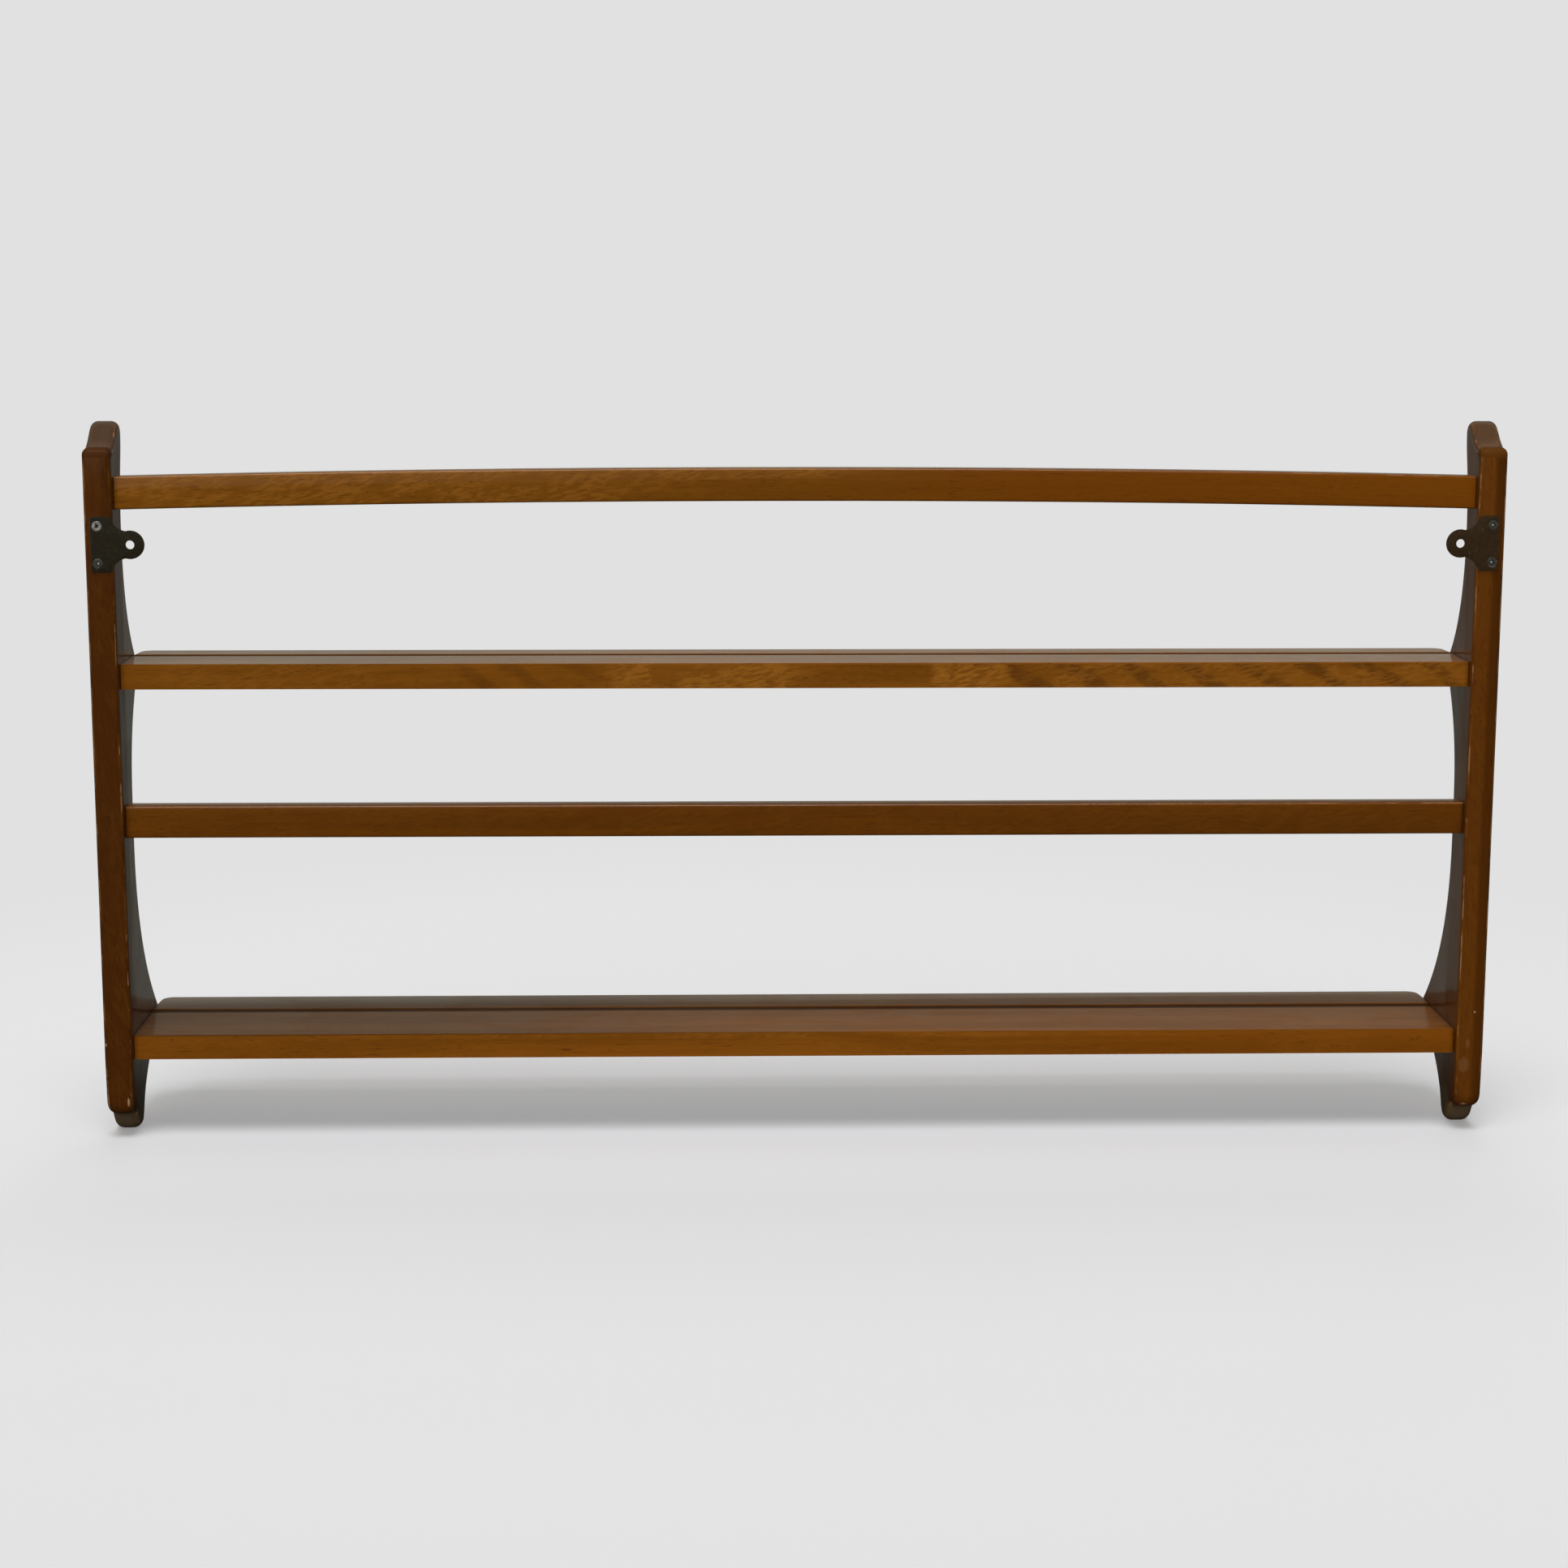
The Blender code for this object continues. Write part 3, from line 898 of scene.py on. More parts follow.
@dataclass
class EndPanels:
    """The two shaped end panels.

    Attributes:
        finishes: Each panel's material.
        rim: Round of the panels' rims.
        lobe_rim: Softer round of the top lobe.
        foot_rim: Softest round, of the worn foot.
        lobe_softens: Heights above the feet between which the round grows to the lobe's.
        foot_softens: Heights between which it grows to the foot's.
        rim_steps: Steps in the round.
        resolution: Steps in each stretch of the outline.
        knots: The outline as (depth, height) in millimetres above the feet: the handle before,
            the point and the handle after. Depth 0 is the rear edge.
    """

    finishes: dict[Side, Material]
    rim: float = 0.0036
    lobe_rim: float = 0.0055
    foot_rim: float = 0.0068
    lobe_softens: tuple[float, float] = (0.476, 0.496)
    foot_softens: tuple[float, float] = (0.050, 0.012)
    rim_steps: int = 7
    resolution: int = 14
    knots: tuple[tuple[tuple[float, float], ...], ...] = (
        ((0, 330), (0, 478.5), (0, 481.3)),
        ((2.2, 483.5), (5, 483.5), (20, 483.5)),
        ((26, 500), (36, 500), (40.5, 500)),
        ((43.5, 496.5), (43.5, 491.5), (42.5, 479)),
        ((32.5, 462), (32.5, 425), (32.5, 385)),
        ((43.5, 357.5), (63.5, 337.5), (68.5, 332.5)),
        ((70.5, 326), (66.5, 318.5), (58.5, 303.5)),
        ((38.2, 285), (38.2, 235), (38.2, 225)),
        ((38.2, 215), (38.2, 205), (38.2, 150)),
        ((62, 109), (102, 75), (107, 70.7)),
        ((109, 64), (103, 58), (92, 49)),
        ((78, 49), (64.5, 38.7), (54.5, 30)),
        ((48.5, 22.5), (45, 15), (41, 6.4)),
        ((38.5, 0), (32, 0), (20.5, 0)),
        ((19.5, 17), (9, 17), (4, 17)),
        ((0, 21), (0, 27), (0, 170)),
    )

    def build(self) -> list[Piece]:
        """Model the right panel, mirror it and dress both.

        Returns:
            The two panels.
        """
        low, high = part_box("end_panel_right")
        points = []
        for knot in self.knots:
            before, point, after = (
                Vector((low.x, high.y - depth * MILLIMETRE, low.z + height * MILLIMETRE))
                for depth, height in knot
            )
            points.append((point, before, after))
        right = bezier_outline("panel_right", points, self.resolution)
        self.loft(right, low, high)
        left = mirrored(right, "panel_left")
        for side, panel in ((Side.RIGHT, right), (Side.LEFT, left)):
            finish_piece(panel, self.finishes[side], f"end_panel_{side.word}")
        return [right, left]

    def radius(self, height: float) -> float:
        """Radius of the rim at a height above the feet.

        Args:
            height: The height.

        Returns:
            The radius.
        """
        radius = self.rim
        for (start, full), softest in (
            (self.lobe_softens, self.lobe_rim),
            (self.foot_softens, self.foot_rim),
        ):
            share = min(1.0, max(0.0, (height - start) / (full - start)))
            radius += (softest - self.rim) * share * share * (3.0 - 2.0 * share)
        return radius

    def rings(self, outline: list[Vector], low: Vector, high: Vector) -> list[list[Vector]]:
        """Work out the panel's rings, from its inner face over both rims to its outer face.

        Args:
            outline: The points of the outline, in order.
            low: The lowest corner of the panel's box.
            high: The highest corner of the panel's box.

        Returns:
            One ring of points after the other, each as long as the outline.
        """
        pairs = list(zip(outline[-1:] + outline[:-1], outline[1:] + outline[:1]))
        area = sum(here.y * after.z - after.y * here.z for here, (_, after) in zip(outline, pairs))
        turn_in = math.copysign(1.0, area)
        inward = [
            Vector((0.0, before.z - after.z, after.y - before.y)).normalized() * turn_in
            for before, after in pairs
        ]
        turns = [math.pi / 2 * step / self.rim_steps for step in range(self.rim_steps + 1)]
        rings = []
        for face, way, order in ((low.x, 1.0, turns[::-1]), (high.x, -1.0, turns)):
            for turn in order:
                ring = []
                for point, into in zip(outline, inward):
                    radius = self.radius(point.z - low.z)
                    place = point + into * radius * (1.0 - math.cos(turn))
                    place.x = face + way * radius * (1.0 - math.sin(turn))
                    ring.append(place)
                rings.append(ring)
        return rings

    def loft(self, panel: Piece, low: Vector, high: Vector) -> None:
        """Extrude the flat outline ring by ring, and settle each ring in its place.

        Args:
            panel: The flat outline with its one face.
            low: The lowest corner of the panel's box.
            high: The highest corner of the panel's box.
        """
        take(panel)
        bpy.ops.object.mode_set(mode="EDIT")
        bpy.ops.mesh.select_mode(type="FACE")
        bpy.ops.mesh.select_all(action="SELECT")
        shape = bmesh.from_edit_mesh(panel.data)
        outline = [vert.co.copy() for vert in next(iter(shape.faces)).verts]
        previous = outline
        for number, ring in enumerate(self.rings(outline, low, high)):
            if number:
                bpy.ops.mesh.extrude_region_move(TRANSFORM_OT_translate={"value": (0.0, 0.0, 0.0)})
            shape = bmesh.from_edit_mesh(panel.data)
            settled = {tuple(place): target for place, target in zip(previous, ring)}
            for vert in next(face for face in shape.faces if face.select).verts:
                vert.co = settled[tuple(vert.co)]
            bmesh.update_edit_mesh(panel.data)
            previous = ring
        bpy.ops.mesh.select_all(action="SELECT")
        bpy.ops.mesh.normals_make_consistent(inside=False)
        bpy.ops.object.mode_set(mode="OBJECT")


@dataclass
class Rail:
    """A rail between the panels, straight or in a shallow arch.

    Attributes:
        node: The CAD node that the rail stands for, and its name.
        finish: Its material.
        rise: How far its middle stands above its ends.
        cuts: Cross cuts along its length; an odd number leaves one in the middle.
        edge_radius: Round of its long edges.
        edge_segments: Steps in that round.
    """

    node: str
    finish: Material
    rise: float = 0.0
    cuts: int = 47
    edge_radius: float = 0.0018
    edge_segments: int = 5

    def build(self) -> Piece:
        """Model the rail from one cube.

        Returns:
            The rail.
        """
        low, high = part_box(self.node)
        high.z -= self.rise
        rail = box_from(f"{self.node}_board", low, high)
        bpy.ops.object.mode_set(mode="EDIT")
        select_edges(rail, lambda a, b: not near(a.x, b.x))
        bpy.ops.mesh.subdivide(number_cuts=self.cuts)
        if self.rise:
            self.arch(rail, (high.x - low.x) / 2)
        select_edges(rail, lambda a, b: not near(a.x, b.x))
        round_selected(self.edge_radius, self.edge_segments)
        bpy.ops.object.mode_set(mode="OBJECT")
        finish_piece(rail, self.finish, self.node)
        return rail

    def arch(self, rail: Piece, half_length: float) -> None:
        """Lift the middle; the lift fades towards the ends as a parabola."""
        select_points(rail, lambda place: near(place.x, 0.0))
        bpy.ops.transform.translate(
            value=(0.0, 0.0, self.rise),
            use_proportional_edit=True,
            proportional_edit_falloff="INVERSE_SQUARE",
            proportional_size=half_length,
            use_proportional_connected=False,
        )


@dataclass
class Shelf:
    """A shelf with round front corners and a groove that keeps plates from sliding.

    Attributes:
        node: The CAD node that the shelf stands for, and its name.
        finish: Its material.
        groove: Distance of the groove's middle from the shelf's front edge.
        groove_radius: Radius of the groove's round bottom.
        groove_depth: Its depth.
        groove_steps: Lines on each side of its middle line.
        corner_radius: Round of the front corners, seen from above.
        corner_segments: Steps in that round.
        edge_radius: Round of the long edges.
        edge_segments: Steps in that round.
    """

    node: str
    finish: Material
    groove: float
    groove_radius: float = 0.0042
    groove_depth: float = 0.003
    groove_steps: int = 6
    corner_radius: float = 0.009
    corner_segments: int = 12
    edge_radius: float = 0.0018
    edge_segments: int = 5

    def build(self) -> Piece:
        """Model the shelf from one cube, then rout its groove.

        Returns:
            The shelf.
        """
        low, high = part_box(self.node)
        shelf = box_from(f"{self.node}_board", low, high)
        bpy.ops.object.mode_set(mode="EDIT")
        select_edges(shelf, lambda a, b: near(a.x, b.x) and near(a.y, low.y) and near(b.y, low.y))
        round_selected(self.corner_radius, self.corner_segments)
        select_edges(
            shelf,
            lambda a, b: near(a.z, b.z) and not (near(abs(a.x), high.x) and near(abs(b.x), high.x)),
        )
        round_selected(self.edge_radius, self.edge_segments)
        self.rout(shelf, low.y + self.groove, high.z)
        bpy.ops.object.mode_set(mode="OBJECT")
        finish_piece(shelf, self.finish, self.node)
        return shelf

    def rout(self, shelf: Piece, middle: float, top: float) -> None:
        """Score lines along the board, and sink each to the groove's round section.

        Args:
            shelf: The shelf in edit mode.
            middle: Y of the groove's middle.
            top: Z of the shelf's top.
        """
        above = self.groove_radius - self.groove_depth
        half_width = math.sqrt(self.groove_radius**2 - above**2)
        widest = math.asin(half_width / self.groove_radius)
        for step in range(-self.groove_steps, self.groove_steps + 1):
            angle = widest * step / self.groove_steps
            across = middle + self.groove_radius * math.sin(angle)
            sunk = self.groove_radius * math.cos(angle) - above
            bpy.ops.mesh.select_all(action="SELECT")
            bpy.ops.mesh.bisect(plane_co=(0.0, across, 0.0), plane_no=(0.0, 1.0, 0.0))
            select_points(shelf, lambda place: near(place.y, across) and near(place.z, top))
            bpy.ops.transform.translate(value=(0.0, 0.0, -sunk))


@dataclass
class HangingPlates:
    """The iron plates that hang the rack, with their countersunk cross-head screws.

    Attributes:
        plate_finishes: Each plate's material.
        screw_finishes: Each screw's material.
        width: From the plate's straight edge to its inner edge.
        ear_centre: Distance of the ear's middle from the straight edge.
        ear_radius: The ear's radius.
        corner_radius: Round of the inner corners.
        shoulder: Middle of the hollow round between a corner and the ear: its distance from the
            straight edge and from mid height.
        shoulder_radius: Radius of that hollow.
        shoulder_end: Angle, in degrees, where the hollow meets the ear.
        hole_radius: Radius of the hanging hole.
        screw_from_edge: Distance of the screws from the straight edge.
        screw_half_spacing: Half the distance between the screws.
        head_radius: Radius of a screw's head.
        shank_radius: Radius of its shank.
        head_height: Height of its cone.
        tip_length: Length of its point.
        tip_radius: Radius at the point's end.
        clearance: Room around a screw in the plate.
        recess_span: Length of the cross recess.
        recess_width: Width of its wings.
        recess_depth: Its depth.
        recess_taper: Size of its floor against its mouth.
        through: Length of a drill that passes right through.
        past: How far the countersink stands out of the plate while it cuts.
        rim: Round of the plates' and screw heads' edges.
        sides: Sides of the round holes and screws.
    """

    plate_finishes: dict[Side, Material]
    screw_finishes: dict[tuple[Side, Level], Material]
    width: float = 0.01425
    ear_centre: float = 0.0267
    ear_radius: float = 0.0097
    corner_radius: float = 0.0018
    shoulder: tuple[float, float] = (0.0256, 0.0211)
    shoulder_radius: float = 0.012
    shoulder_end: float = 261.0
    hole_radius: float = 0.003
    screw_from_edge: float = 0.0047
    screw_half_spacing: float = 0.01275
    head_radius: float = 0.0033
    shank_radius: float = 0.0017
    head_height: float = 0.0016
    tip_length: float = 0.004
    tip_radius: float = 0.0003
    clearance: float = 0.0003
    recess_span: float = 0.0040
    recess_width: float = 0.0013
    recess_depth: float = 0.0009
    recess_taper: float = 0.6
    through: float = 0.006
    past: float = 0.0004
    rim: float = 0.00025
    sides: int = 48

    def build(self) -> list[Piece]:
        """Model one plate and one screw, copy them to their places and dress them.

        Returns:
            The plates and the screws.
        """
        low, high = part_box("hanging_plate_right")
        plate = self.model_plate(low, high)
        plates = {Side.RIGHT: plate, Side.LEFT: mirrored(plate, "plate_left")}
        for side, piece in plates.items():
            finish_piece(piece, self.plate_finishes[side], f"hanging_plate_{side.word}")
        first = self.model_screw()
        pieces = list(plates.values())
        for (side, level), finish in self.screw_finishes.items():
            node = f"plate_screw_{side.word}_{level.word}"
            pieces.append(self.place_screw(first, node, finish))
        bpy.data.objects.remove(first, do_unlink=True)
        return pieces

    def outline(self, low: Vector, high: Vector) -> list[tuple[Vector, Vector, Vector]]:
        """Work out the plate's outline.

        Args:
            low: The lowest corner of the plate's box.
            high: The highest corner of the plate's box.

        Returns:
            The outline's points on the plate's front plane, each with itself as both handles.
        """
        half = (high.z - low.z) / 2
        radius = self.corner_radius
        corner = self.arc(self.width - radius, half - radius, radius, 90.0, 0.0, 6)
        drop = self.shoulder[1] - (half - radius)
        leaves = 180.0 + math.degrees(math.asin(drop / self.shoulder_radius))
        hollow = self.arc(*self.shoulder, self.shoulder_radius, leaves, self.shoulder_end, 12)
        x, z = hollow[-1]
        meets = math.degrees(math.atan2(z, x - self.ear_centre))
        ear = self.arc(self.ear_centre, 0.0, self.ear_radius, meets, 0.0, 28)
        upper = [(0.0, half)] + corner + hollow[1:-1] + ear
        middle = (low.z + high.z) / 2
        places = upper + [(x, -z) for x, z in reversed(upper[:-1])]
        points = [Vector((high.x - x, low.y, middle + z)) for x, z in places]
        return [(point, point, point) for point in points]

    @staticmethod
    def arc(
        x: float, z: float, radius: float, first: float, last: float, steps: int
    ) -> list[tuple[float, float]]:
        """Points along an arc about (x, z), from the first to the last angle in degrees."""
        turns = (math.radians(first + (last - first) * step / steps) for step in range(steps + 1))
        return [(x + radius * math.cos(turn), z + radius * math.sin(turn)) for turn in turns]

    def model_plate(self, low: Vector, high: Vector) -> Piece:
        """Model the right plate: outline, thickness, soft rims, and three holes.

        Args:
            low: The lowest corner of the plate's box.
            high: The highest corner of the plate's box.

        Returns:
            The plate.
        """
        plate = bezier_outline("plate_right", self.outline(low, high), 1)
        thicken(plate, (0.0, high.y - low.y, 0.0))
        select_edges(plate, lambda a, b: near(a.y, b.y))
        round_selected(self.rim, 2)
        bpy.ops.object.mode_set(mode="OBJECT")
        middle = (low.z + high.z) / 2
        ear = Vector((high.x - self.ear_centre, (low.y + high.y) / 2, middle))
        cut_away(plate, self.drill(ear, self.hole_radius, self.hole_radius, self.through))
        for level in Level:
            seat = Vector((high.x - self.screw_from_edge, high.y, middle))
            seat.z += level.value * self.screw_half_spacing
            self.countersink(plate, seat)
        return plate

    def drill(self, middle: Vector, start: float, end: float, length: float) -> Piece:
        """Make a cutter along Y, with its own radius at each end.

        Args:
            middle: The cutter's middle.
            start: Its radius towards the wall.
            end: Its radius towards the room.
            length: Its length.

        Returns:
            The cutter.
        """
        deselect()
        bpy.ops.mesh.primitive_cone_add(
            vertices=self.sides, radius1=end, radius2=start, depth=length,
            location=middle, rotation=(math.radians(-90.0), 0.0, 0.0),
        )
        cutter = bpy.context.active_object
        apply_place(cutter)
        return cutter

    def countersink(self, plate: Piece, seat: Vector) -> None:
        """Cut a screw's through hole and its cone, which opens towards the wall.

        Args:
            plate: The plate to cut.
            seat: The middle of the cone's mouth.
        """
        shank = self.shank_radius + self.clearance
        head = self.head_radius + self.clearance
        cut_away(plate, self.drill(seat, shank, shank, self.through))
        slope = (head - shank) / self.head_height
        depth = self.head_height + self.past
        middle = seat + Vector((0.0, self.past - depth / 2, 0.0))
        cut_away(plate, self.drill(middle, head + slope * self.past, shank, depth))

    def model_screw(self) -> Piece:
        """Model a screw about the origin: its head's face lies on Y = 0 and its tip at -Y.

        Returns:
            The screw.
        """
        deselect()
        bpy.ops.mesh.primitive_circle_add(
            vertices=self.sides, radius=self.head_radius - self.rim, fill_type="NGON",
            rotation=(math.radians(-90.0), 0.0, 0.0),
        )
        screw = bpy.context.active_object
        apply_place(screw)
        bpy.ops.object.mode_set(mode="EDIT")
        bpy.ops.mesh.select_all(action="SELECT")
        low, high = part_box("plate_screw_right_upper")
        length = high.y - low.y
        reach = 0.0
        radius = self.head_radius - self.rim
        sections = (
            (self.rim, self.head_radius),
            (self.head_height, self.shank_radius),
            (length - self.tip_length, self.shank_radius),
            (length, self.tip_radius),
        )
        for depth, wide in sections:
            bpy.ops.mesh.extrude_region_move(
                TRANSFORM_OT_translate={"value": (0.0, reach - depth, 0.0)}
            )
            bpy.ops.transform.resize(
                value=(wide / radius, 1.0, wide / radius), center_override=(0.0, -depth, 0.0)
            )
            reach = depth
            radius = wide
        bpy.ops.mesh.select_all(action="SELECT")
        bpy.ops.mesh.normals_make_consistent(inside=False)
        bpy.ops.object.mode_set(mode="OBJECT")
        for across, up in ((self.recess_span, self.recess_width), (self.recess_width, self.recess_span)):
            cut_away(screw, self.recess_wing(across, up))
        return screw

    def recess_wing(self, across: float, up: float) -> Piece:
        """Make one wing of the cross recess, which narrows towards its floor.

        Args:
            across: The wing's size along X.
            up: Its size along Z.

        Returns:
            The wing, to cut with.
        """
        half = Vector((across / 2, self.recess_depth, up / 2))
        wing = box_from("recess_wing", -half, half)
        bpy.ops.object.mode_set(mode="EDIT")
        select_faces(wing, lambda middle, normal: normal.y < -0.5)
        bpy.ops.transform.resize(
            value=(self.recess_taper, 1.0, self.recess_taper),
            center_override=(0.0, -self.recess_depth, 0.0),
        )
        bpy.ops.object.mode_set(mode="OBJECT")
        return wing

    def place_screw(
        self, first: Piece, node: str, finish: Material
    ) -> Piece:
        """Copy the screw to a CAD screw's place, each turned its own way as driven by hand.

        Args:
            first: The screw about the origin.
            node: The CAD screw that the copy stands for.
            finish: Its material.

        Returns:
            The copy.
        """
        take(first)
        bpy.ops.object.duplicate()
        screw = bpy.context.active_object
        screw.name = node.replace("plate_screw", "screw")
        low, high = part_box(node)
        screw.rotation_euler.y = 0.9 * low.x + 23.0 * low.z
        screw.location = ((low.x + high.x) / 2, high.y, (low.z + high.z) / 2)
        apply_place(screw)
        finish_piece(screw, finish, node, angle=30.0)
        return screw


@dataclass
class Dowels:
    """The hidden dowels, which keep their CAD shape.

    Attributes:
        finish: Their material.
    """

    finish: Material

    def dress(self) -> None:
        """Give every dowel its finish."""
        for name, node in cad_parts.items():
            if "_dowel_" in name:
                for slot in node.material_slots:
                    slot.material = self.finish
                LOG.info("%s dressed", name)


@dataclass
class Studio:
    """Pale floor, soft light and the camera.

    Attributes:
        shown: Radiance of the pale surroundings that the camera sees.
        floor_glow: Radiance that the floor has of its own.
        floor_colour: The floor's own colour, where the camera sees it.
        floor_half: Half the floor's side.
        floor_fades: Distances between which the floor passes into the surroundings.
        floor_dull: What the floor gives back to the rack, on the wall side.
        floor_dull_room: What it gives back on the room side.
        eye: The camera's place.
        gaze: The direction it looks in.
        lens: Its focal length for a sensor 36 mm wide.
        roll: Its turn about the gaze, in degrees.
        key_from: The direction that the key light comes from.
        key_strength: The key light's strength.
        key_width: Its angular width in degrees.
        fill_from: The direction that the fill light comes from.
        fill_strength: The fill light's strength; it throws no shadow.
        fill_width: Its angular width in degrees.
        room_from: The direction that the light from the room comes from.
        room_strength: Its strength.
        overhead: Radiance straight above.
        band: Radiance of a band above the horizon on the wall side.
        room: Radiance on the room side: along the horizon, somewhat above it, and high up.
        veil: Radiance low on the wall side, towards +X.
        tint: The colour of the light that comes from around.
    """

    shown: float = 0.753
    floor_glow: float = 0.085
    floor_colour: Colour = (1.0, 0.985, 1.03)
    floor_half: float = 30.0
    floor_fades: tuple[float, float] = (0.75, 1.25)
    floor_dull: Colour = (0.05, 0.05, 0.045)
    floor_dull_room: Colour = (0.22, 0.23, 0.21)
    eye: Place = (0.0609, 2.0206, 0.1853)
    gaze: Place = (-0.02482, -0.98493, -0.17116)
    lens: float = 68.15
    roll: float = 0.074
    key_from: Place = (0.05, 0.30, 0.95)
    key_strength: float = 1.02
    key_width: float = 30.0
    fill_from: Place = (0.05, 0.93, 0.36)
    fill_strength: float = 1.29
    fill_width: float = 40.0
    room_from: Place = (-0.10, -0.99, 0.10)
    room_strength: float = 1.3
    overhead: float = 0.10
    band: float = 0.15
    room: tuple[float, float, float] = (0.31, 0.10, 0.20)
    veil: float = 0.45
    tint: Colour = (0.96, 1.0, 0.86)

    def build(self) -> None:
        """Set floor, surroundings, lights and camera."""
        bpy.context.scene.view_settings.view_transform = "Standard"
        self.set_floor()
        self.set_surroundings()
        self.hang_light("key_light", self.key_from, self.key_strength, self.key_width)
        fill = self.hang_light("fill_light", self.fill_from, self.fill_strength, self.fill_width)
        fill.data.use_shadow = False
        fill.visible_glossy = False
        room = self.hang_light("room_light", self.room_from, self.room_strength, self.fill_width)
        room.visible_glossy = False
        self.set_camera()

    def set_floor(self) -> None:
        """Lay a wide pale floor under the rack's feet."""
        deselect()
        ground = CAD_BOX[0].z
        bpy.ops.mesh.primitive_plane_add(size=2.0 * self.floor_half, location=(0.0, 0.0, ground))
        floor = bpy.context.active_object
        floor.name = "studio_floor"
        apply_place(floor)
        material, tree, shader = blank_material("studio_floor")
        tree.nodes.remove(shader)
        paper = add_node(tree, "ShaderNodeBsdfDiffuse", {"Color": (*self.floor_colour, 1.0)})
        glow = add_node(
            tree,
            "ShaderNodeEmission",
            {"Color": (1.0, 1.0, 1.0, 1.0), "Strength": self.floor_glow},
        )
        seen = add_node(tree, "ShaderNodeAddShader", {0: paper.outputs[0], 1: glow.outputs[0]})
        place = add_node(tree, "ShaderNodeTexCoord").outputs["Object"]
        length = add_node(tree, "ShaderNodeVectorMath", {0: place}, operation="LENGTH")
        distance = length.outputs["Value"]
        plain = add_node(tree, "ShaderNodeEmission", {"Color": (*(self.shown,) * 3, 1.0)})
        seen = add_node(
            tree,
            "ShaderNodeMixShader",
            {0: ease(tree, distance, *self.floor_fades), 1: seen.outputs[0], 2: plain.outputs[0]},
        )
        depth = add_node(tree, "ShaderNodeSeparateXYZ", {0: place}).outputs["Y"]
        room_side = ease(tree, depth, -0.05, -0.30)
        dull = blend(tree, room_side, self.floor_dull, self.floor_dull_room)
        hidden = add_node(tree, "ShaderNodeBsdfDiffuse", {"Color": dull})
        path = add_node(tree, "ShaderNodeLightPath")
        both = add_node(
            tree,
            "ShaderNodeMixShader",
            {0: path.outputs["Is Camera Ray"], 1: hidden.outputs[0], 2: seen.outputs[0]},
        )
        tree.links.new(both.outputs[0], tree.nodes["Material Output"].inputs["Surface"])
        floor.data.materials.append(material)

    def set_surroundings(self) -> None:
        """Surround the rack with pale paper, soft light from above, and light from either side."""
        world = bpy.data.worlds.new("studio")
        bpy.context.scene.world = world
        world.use_nodes = True
        tree = world.node_tree
        background = tree.nodes["Background"]
        coordinates = add_node(tree, "ShaderNodeTexCoord")
        way = add_node(tree, "ShaderNodeSeparateXYZ", {0: coordinates.outputs["Generated"]}).outputs
        light = ease(tree, way["Z"], 0.30, 0.85, self.overhead)
        band = ease(tree, way["Z"], 0.62, 0.48, self.band)
        band = calculate(tree, "MULTIPLY", band, ease(tree, way["Z"], 0.18, 0.30))
        light = self.with_part(tree, light, band, ease(tree, way["Y"], 0.15, 0.60))
        behind = ease(tree, way["Y"], -0.10, -0.60)
        low = ease(tree, way["Z"], 0.24, 0.13, self.room[0] - self.room[1])
        light = self.with_part(tree, light, calculate(tree, "ADD", low, self.room[1]), behind)
        light = self.with_part(tree, light, ease(tree, way["Z"], 0.35, 0.60, self.room[2]), behind)
        window = ease(tree, way["X"], -0.12, 0.30, self.veil)
        light = self.with_part(tree, light, window, ease(tree, way["Y"], 0.30, 0.80))
        light = calculate(tree, "ADD", light, 0.02)
        path = add_node(tree, "ShaderNodeLightPath")
        red = calculate(tree, "MULTIPLY", light, self.tint[0])
        blue = calculate(tree, "MULTIPLY", light, self.tint[2])
        dim = add_node(tree, "ShaderNodeCombineColor", {0: red, 1: light, 2: blue}).outputs[0]
        paper = (self.shown, self.shown, self.shown)
        colour = blend(tree, path.outputs["Is Camera Ray"], dim, paper)
        tree.links.new(colour, background.inputs["Color"])

    @staticmethod
    def with_part(tree: Tree, light: Socket, part: Socket, where: Socket) -> Socket:
        """Add a part of the light where its mask allows it."""
        return calculate(tree, "MULTIPLY_ADD", part, where, light)

    @staticmethod
    def hang_light(name: str, origin: Place, strength: float, width: float) -> Piece:
        """Hang a distant light.

        Args:
            name: The light's name.
            origin: The direction that its light comes from.
            strength: Its strength.
            width: Its angular width in degrees.

        Returns:
            The light.
        """
        deselect()
        bpy.ops.object.light_add(type="SUN", location=(0.0, 1.0, 2.0))
        light = bpy.context.active_object
        light.name = name
        light.data.energy = strength
        light.data.angle = math.radians(width)
        light.rotation_mode = "QUATERNION"
        light.rotation_quaternion = Vector(origin).to_track_quat("Z", "Y")
        return light

    def set_camera(self) -> None:
        """Stand the camera on the wall side, a little above the rack's middle."""
        deselect()
        bpy.ops.object.camera_add(location=self.eye)
        camera = bpy.context.active_object
        camera.name = "camera"
        camera.data.sensor_width = 36.0
        camera.data.lens = self.lens
        turn = Vector(self.gaze).to_track_quat("-Z", "Y").to_matrix()
        roll = Matrix.Rotation(math.radians(self.roll), 3, "Z")
        camera.rotation_euler = (turn @ roll).to_euler()
        bpy.context.scene.camera = camera


# ---------------------------------------------------------------------------------------------
# This rack's finishes

STAIN = (0.262, 0.089, 0.0045)
STAIN_DARK = (0.165, 0.050, 0.0020)
# Colour of painted shade: at the ends of boards and, with dirt, on the floors of the grooves.
SHADE_DARK = (0.030, 0.010, 0.002)
STRIPE = (0.085, 0.026, 0.003)
RAW_WOOD = (0.55, 0.36, 0.21)
WORN_FILM = (0.300, 0.150, 0.060)
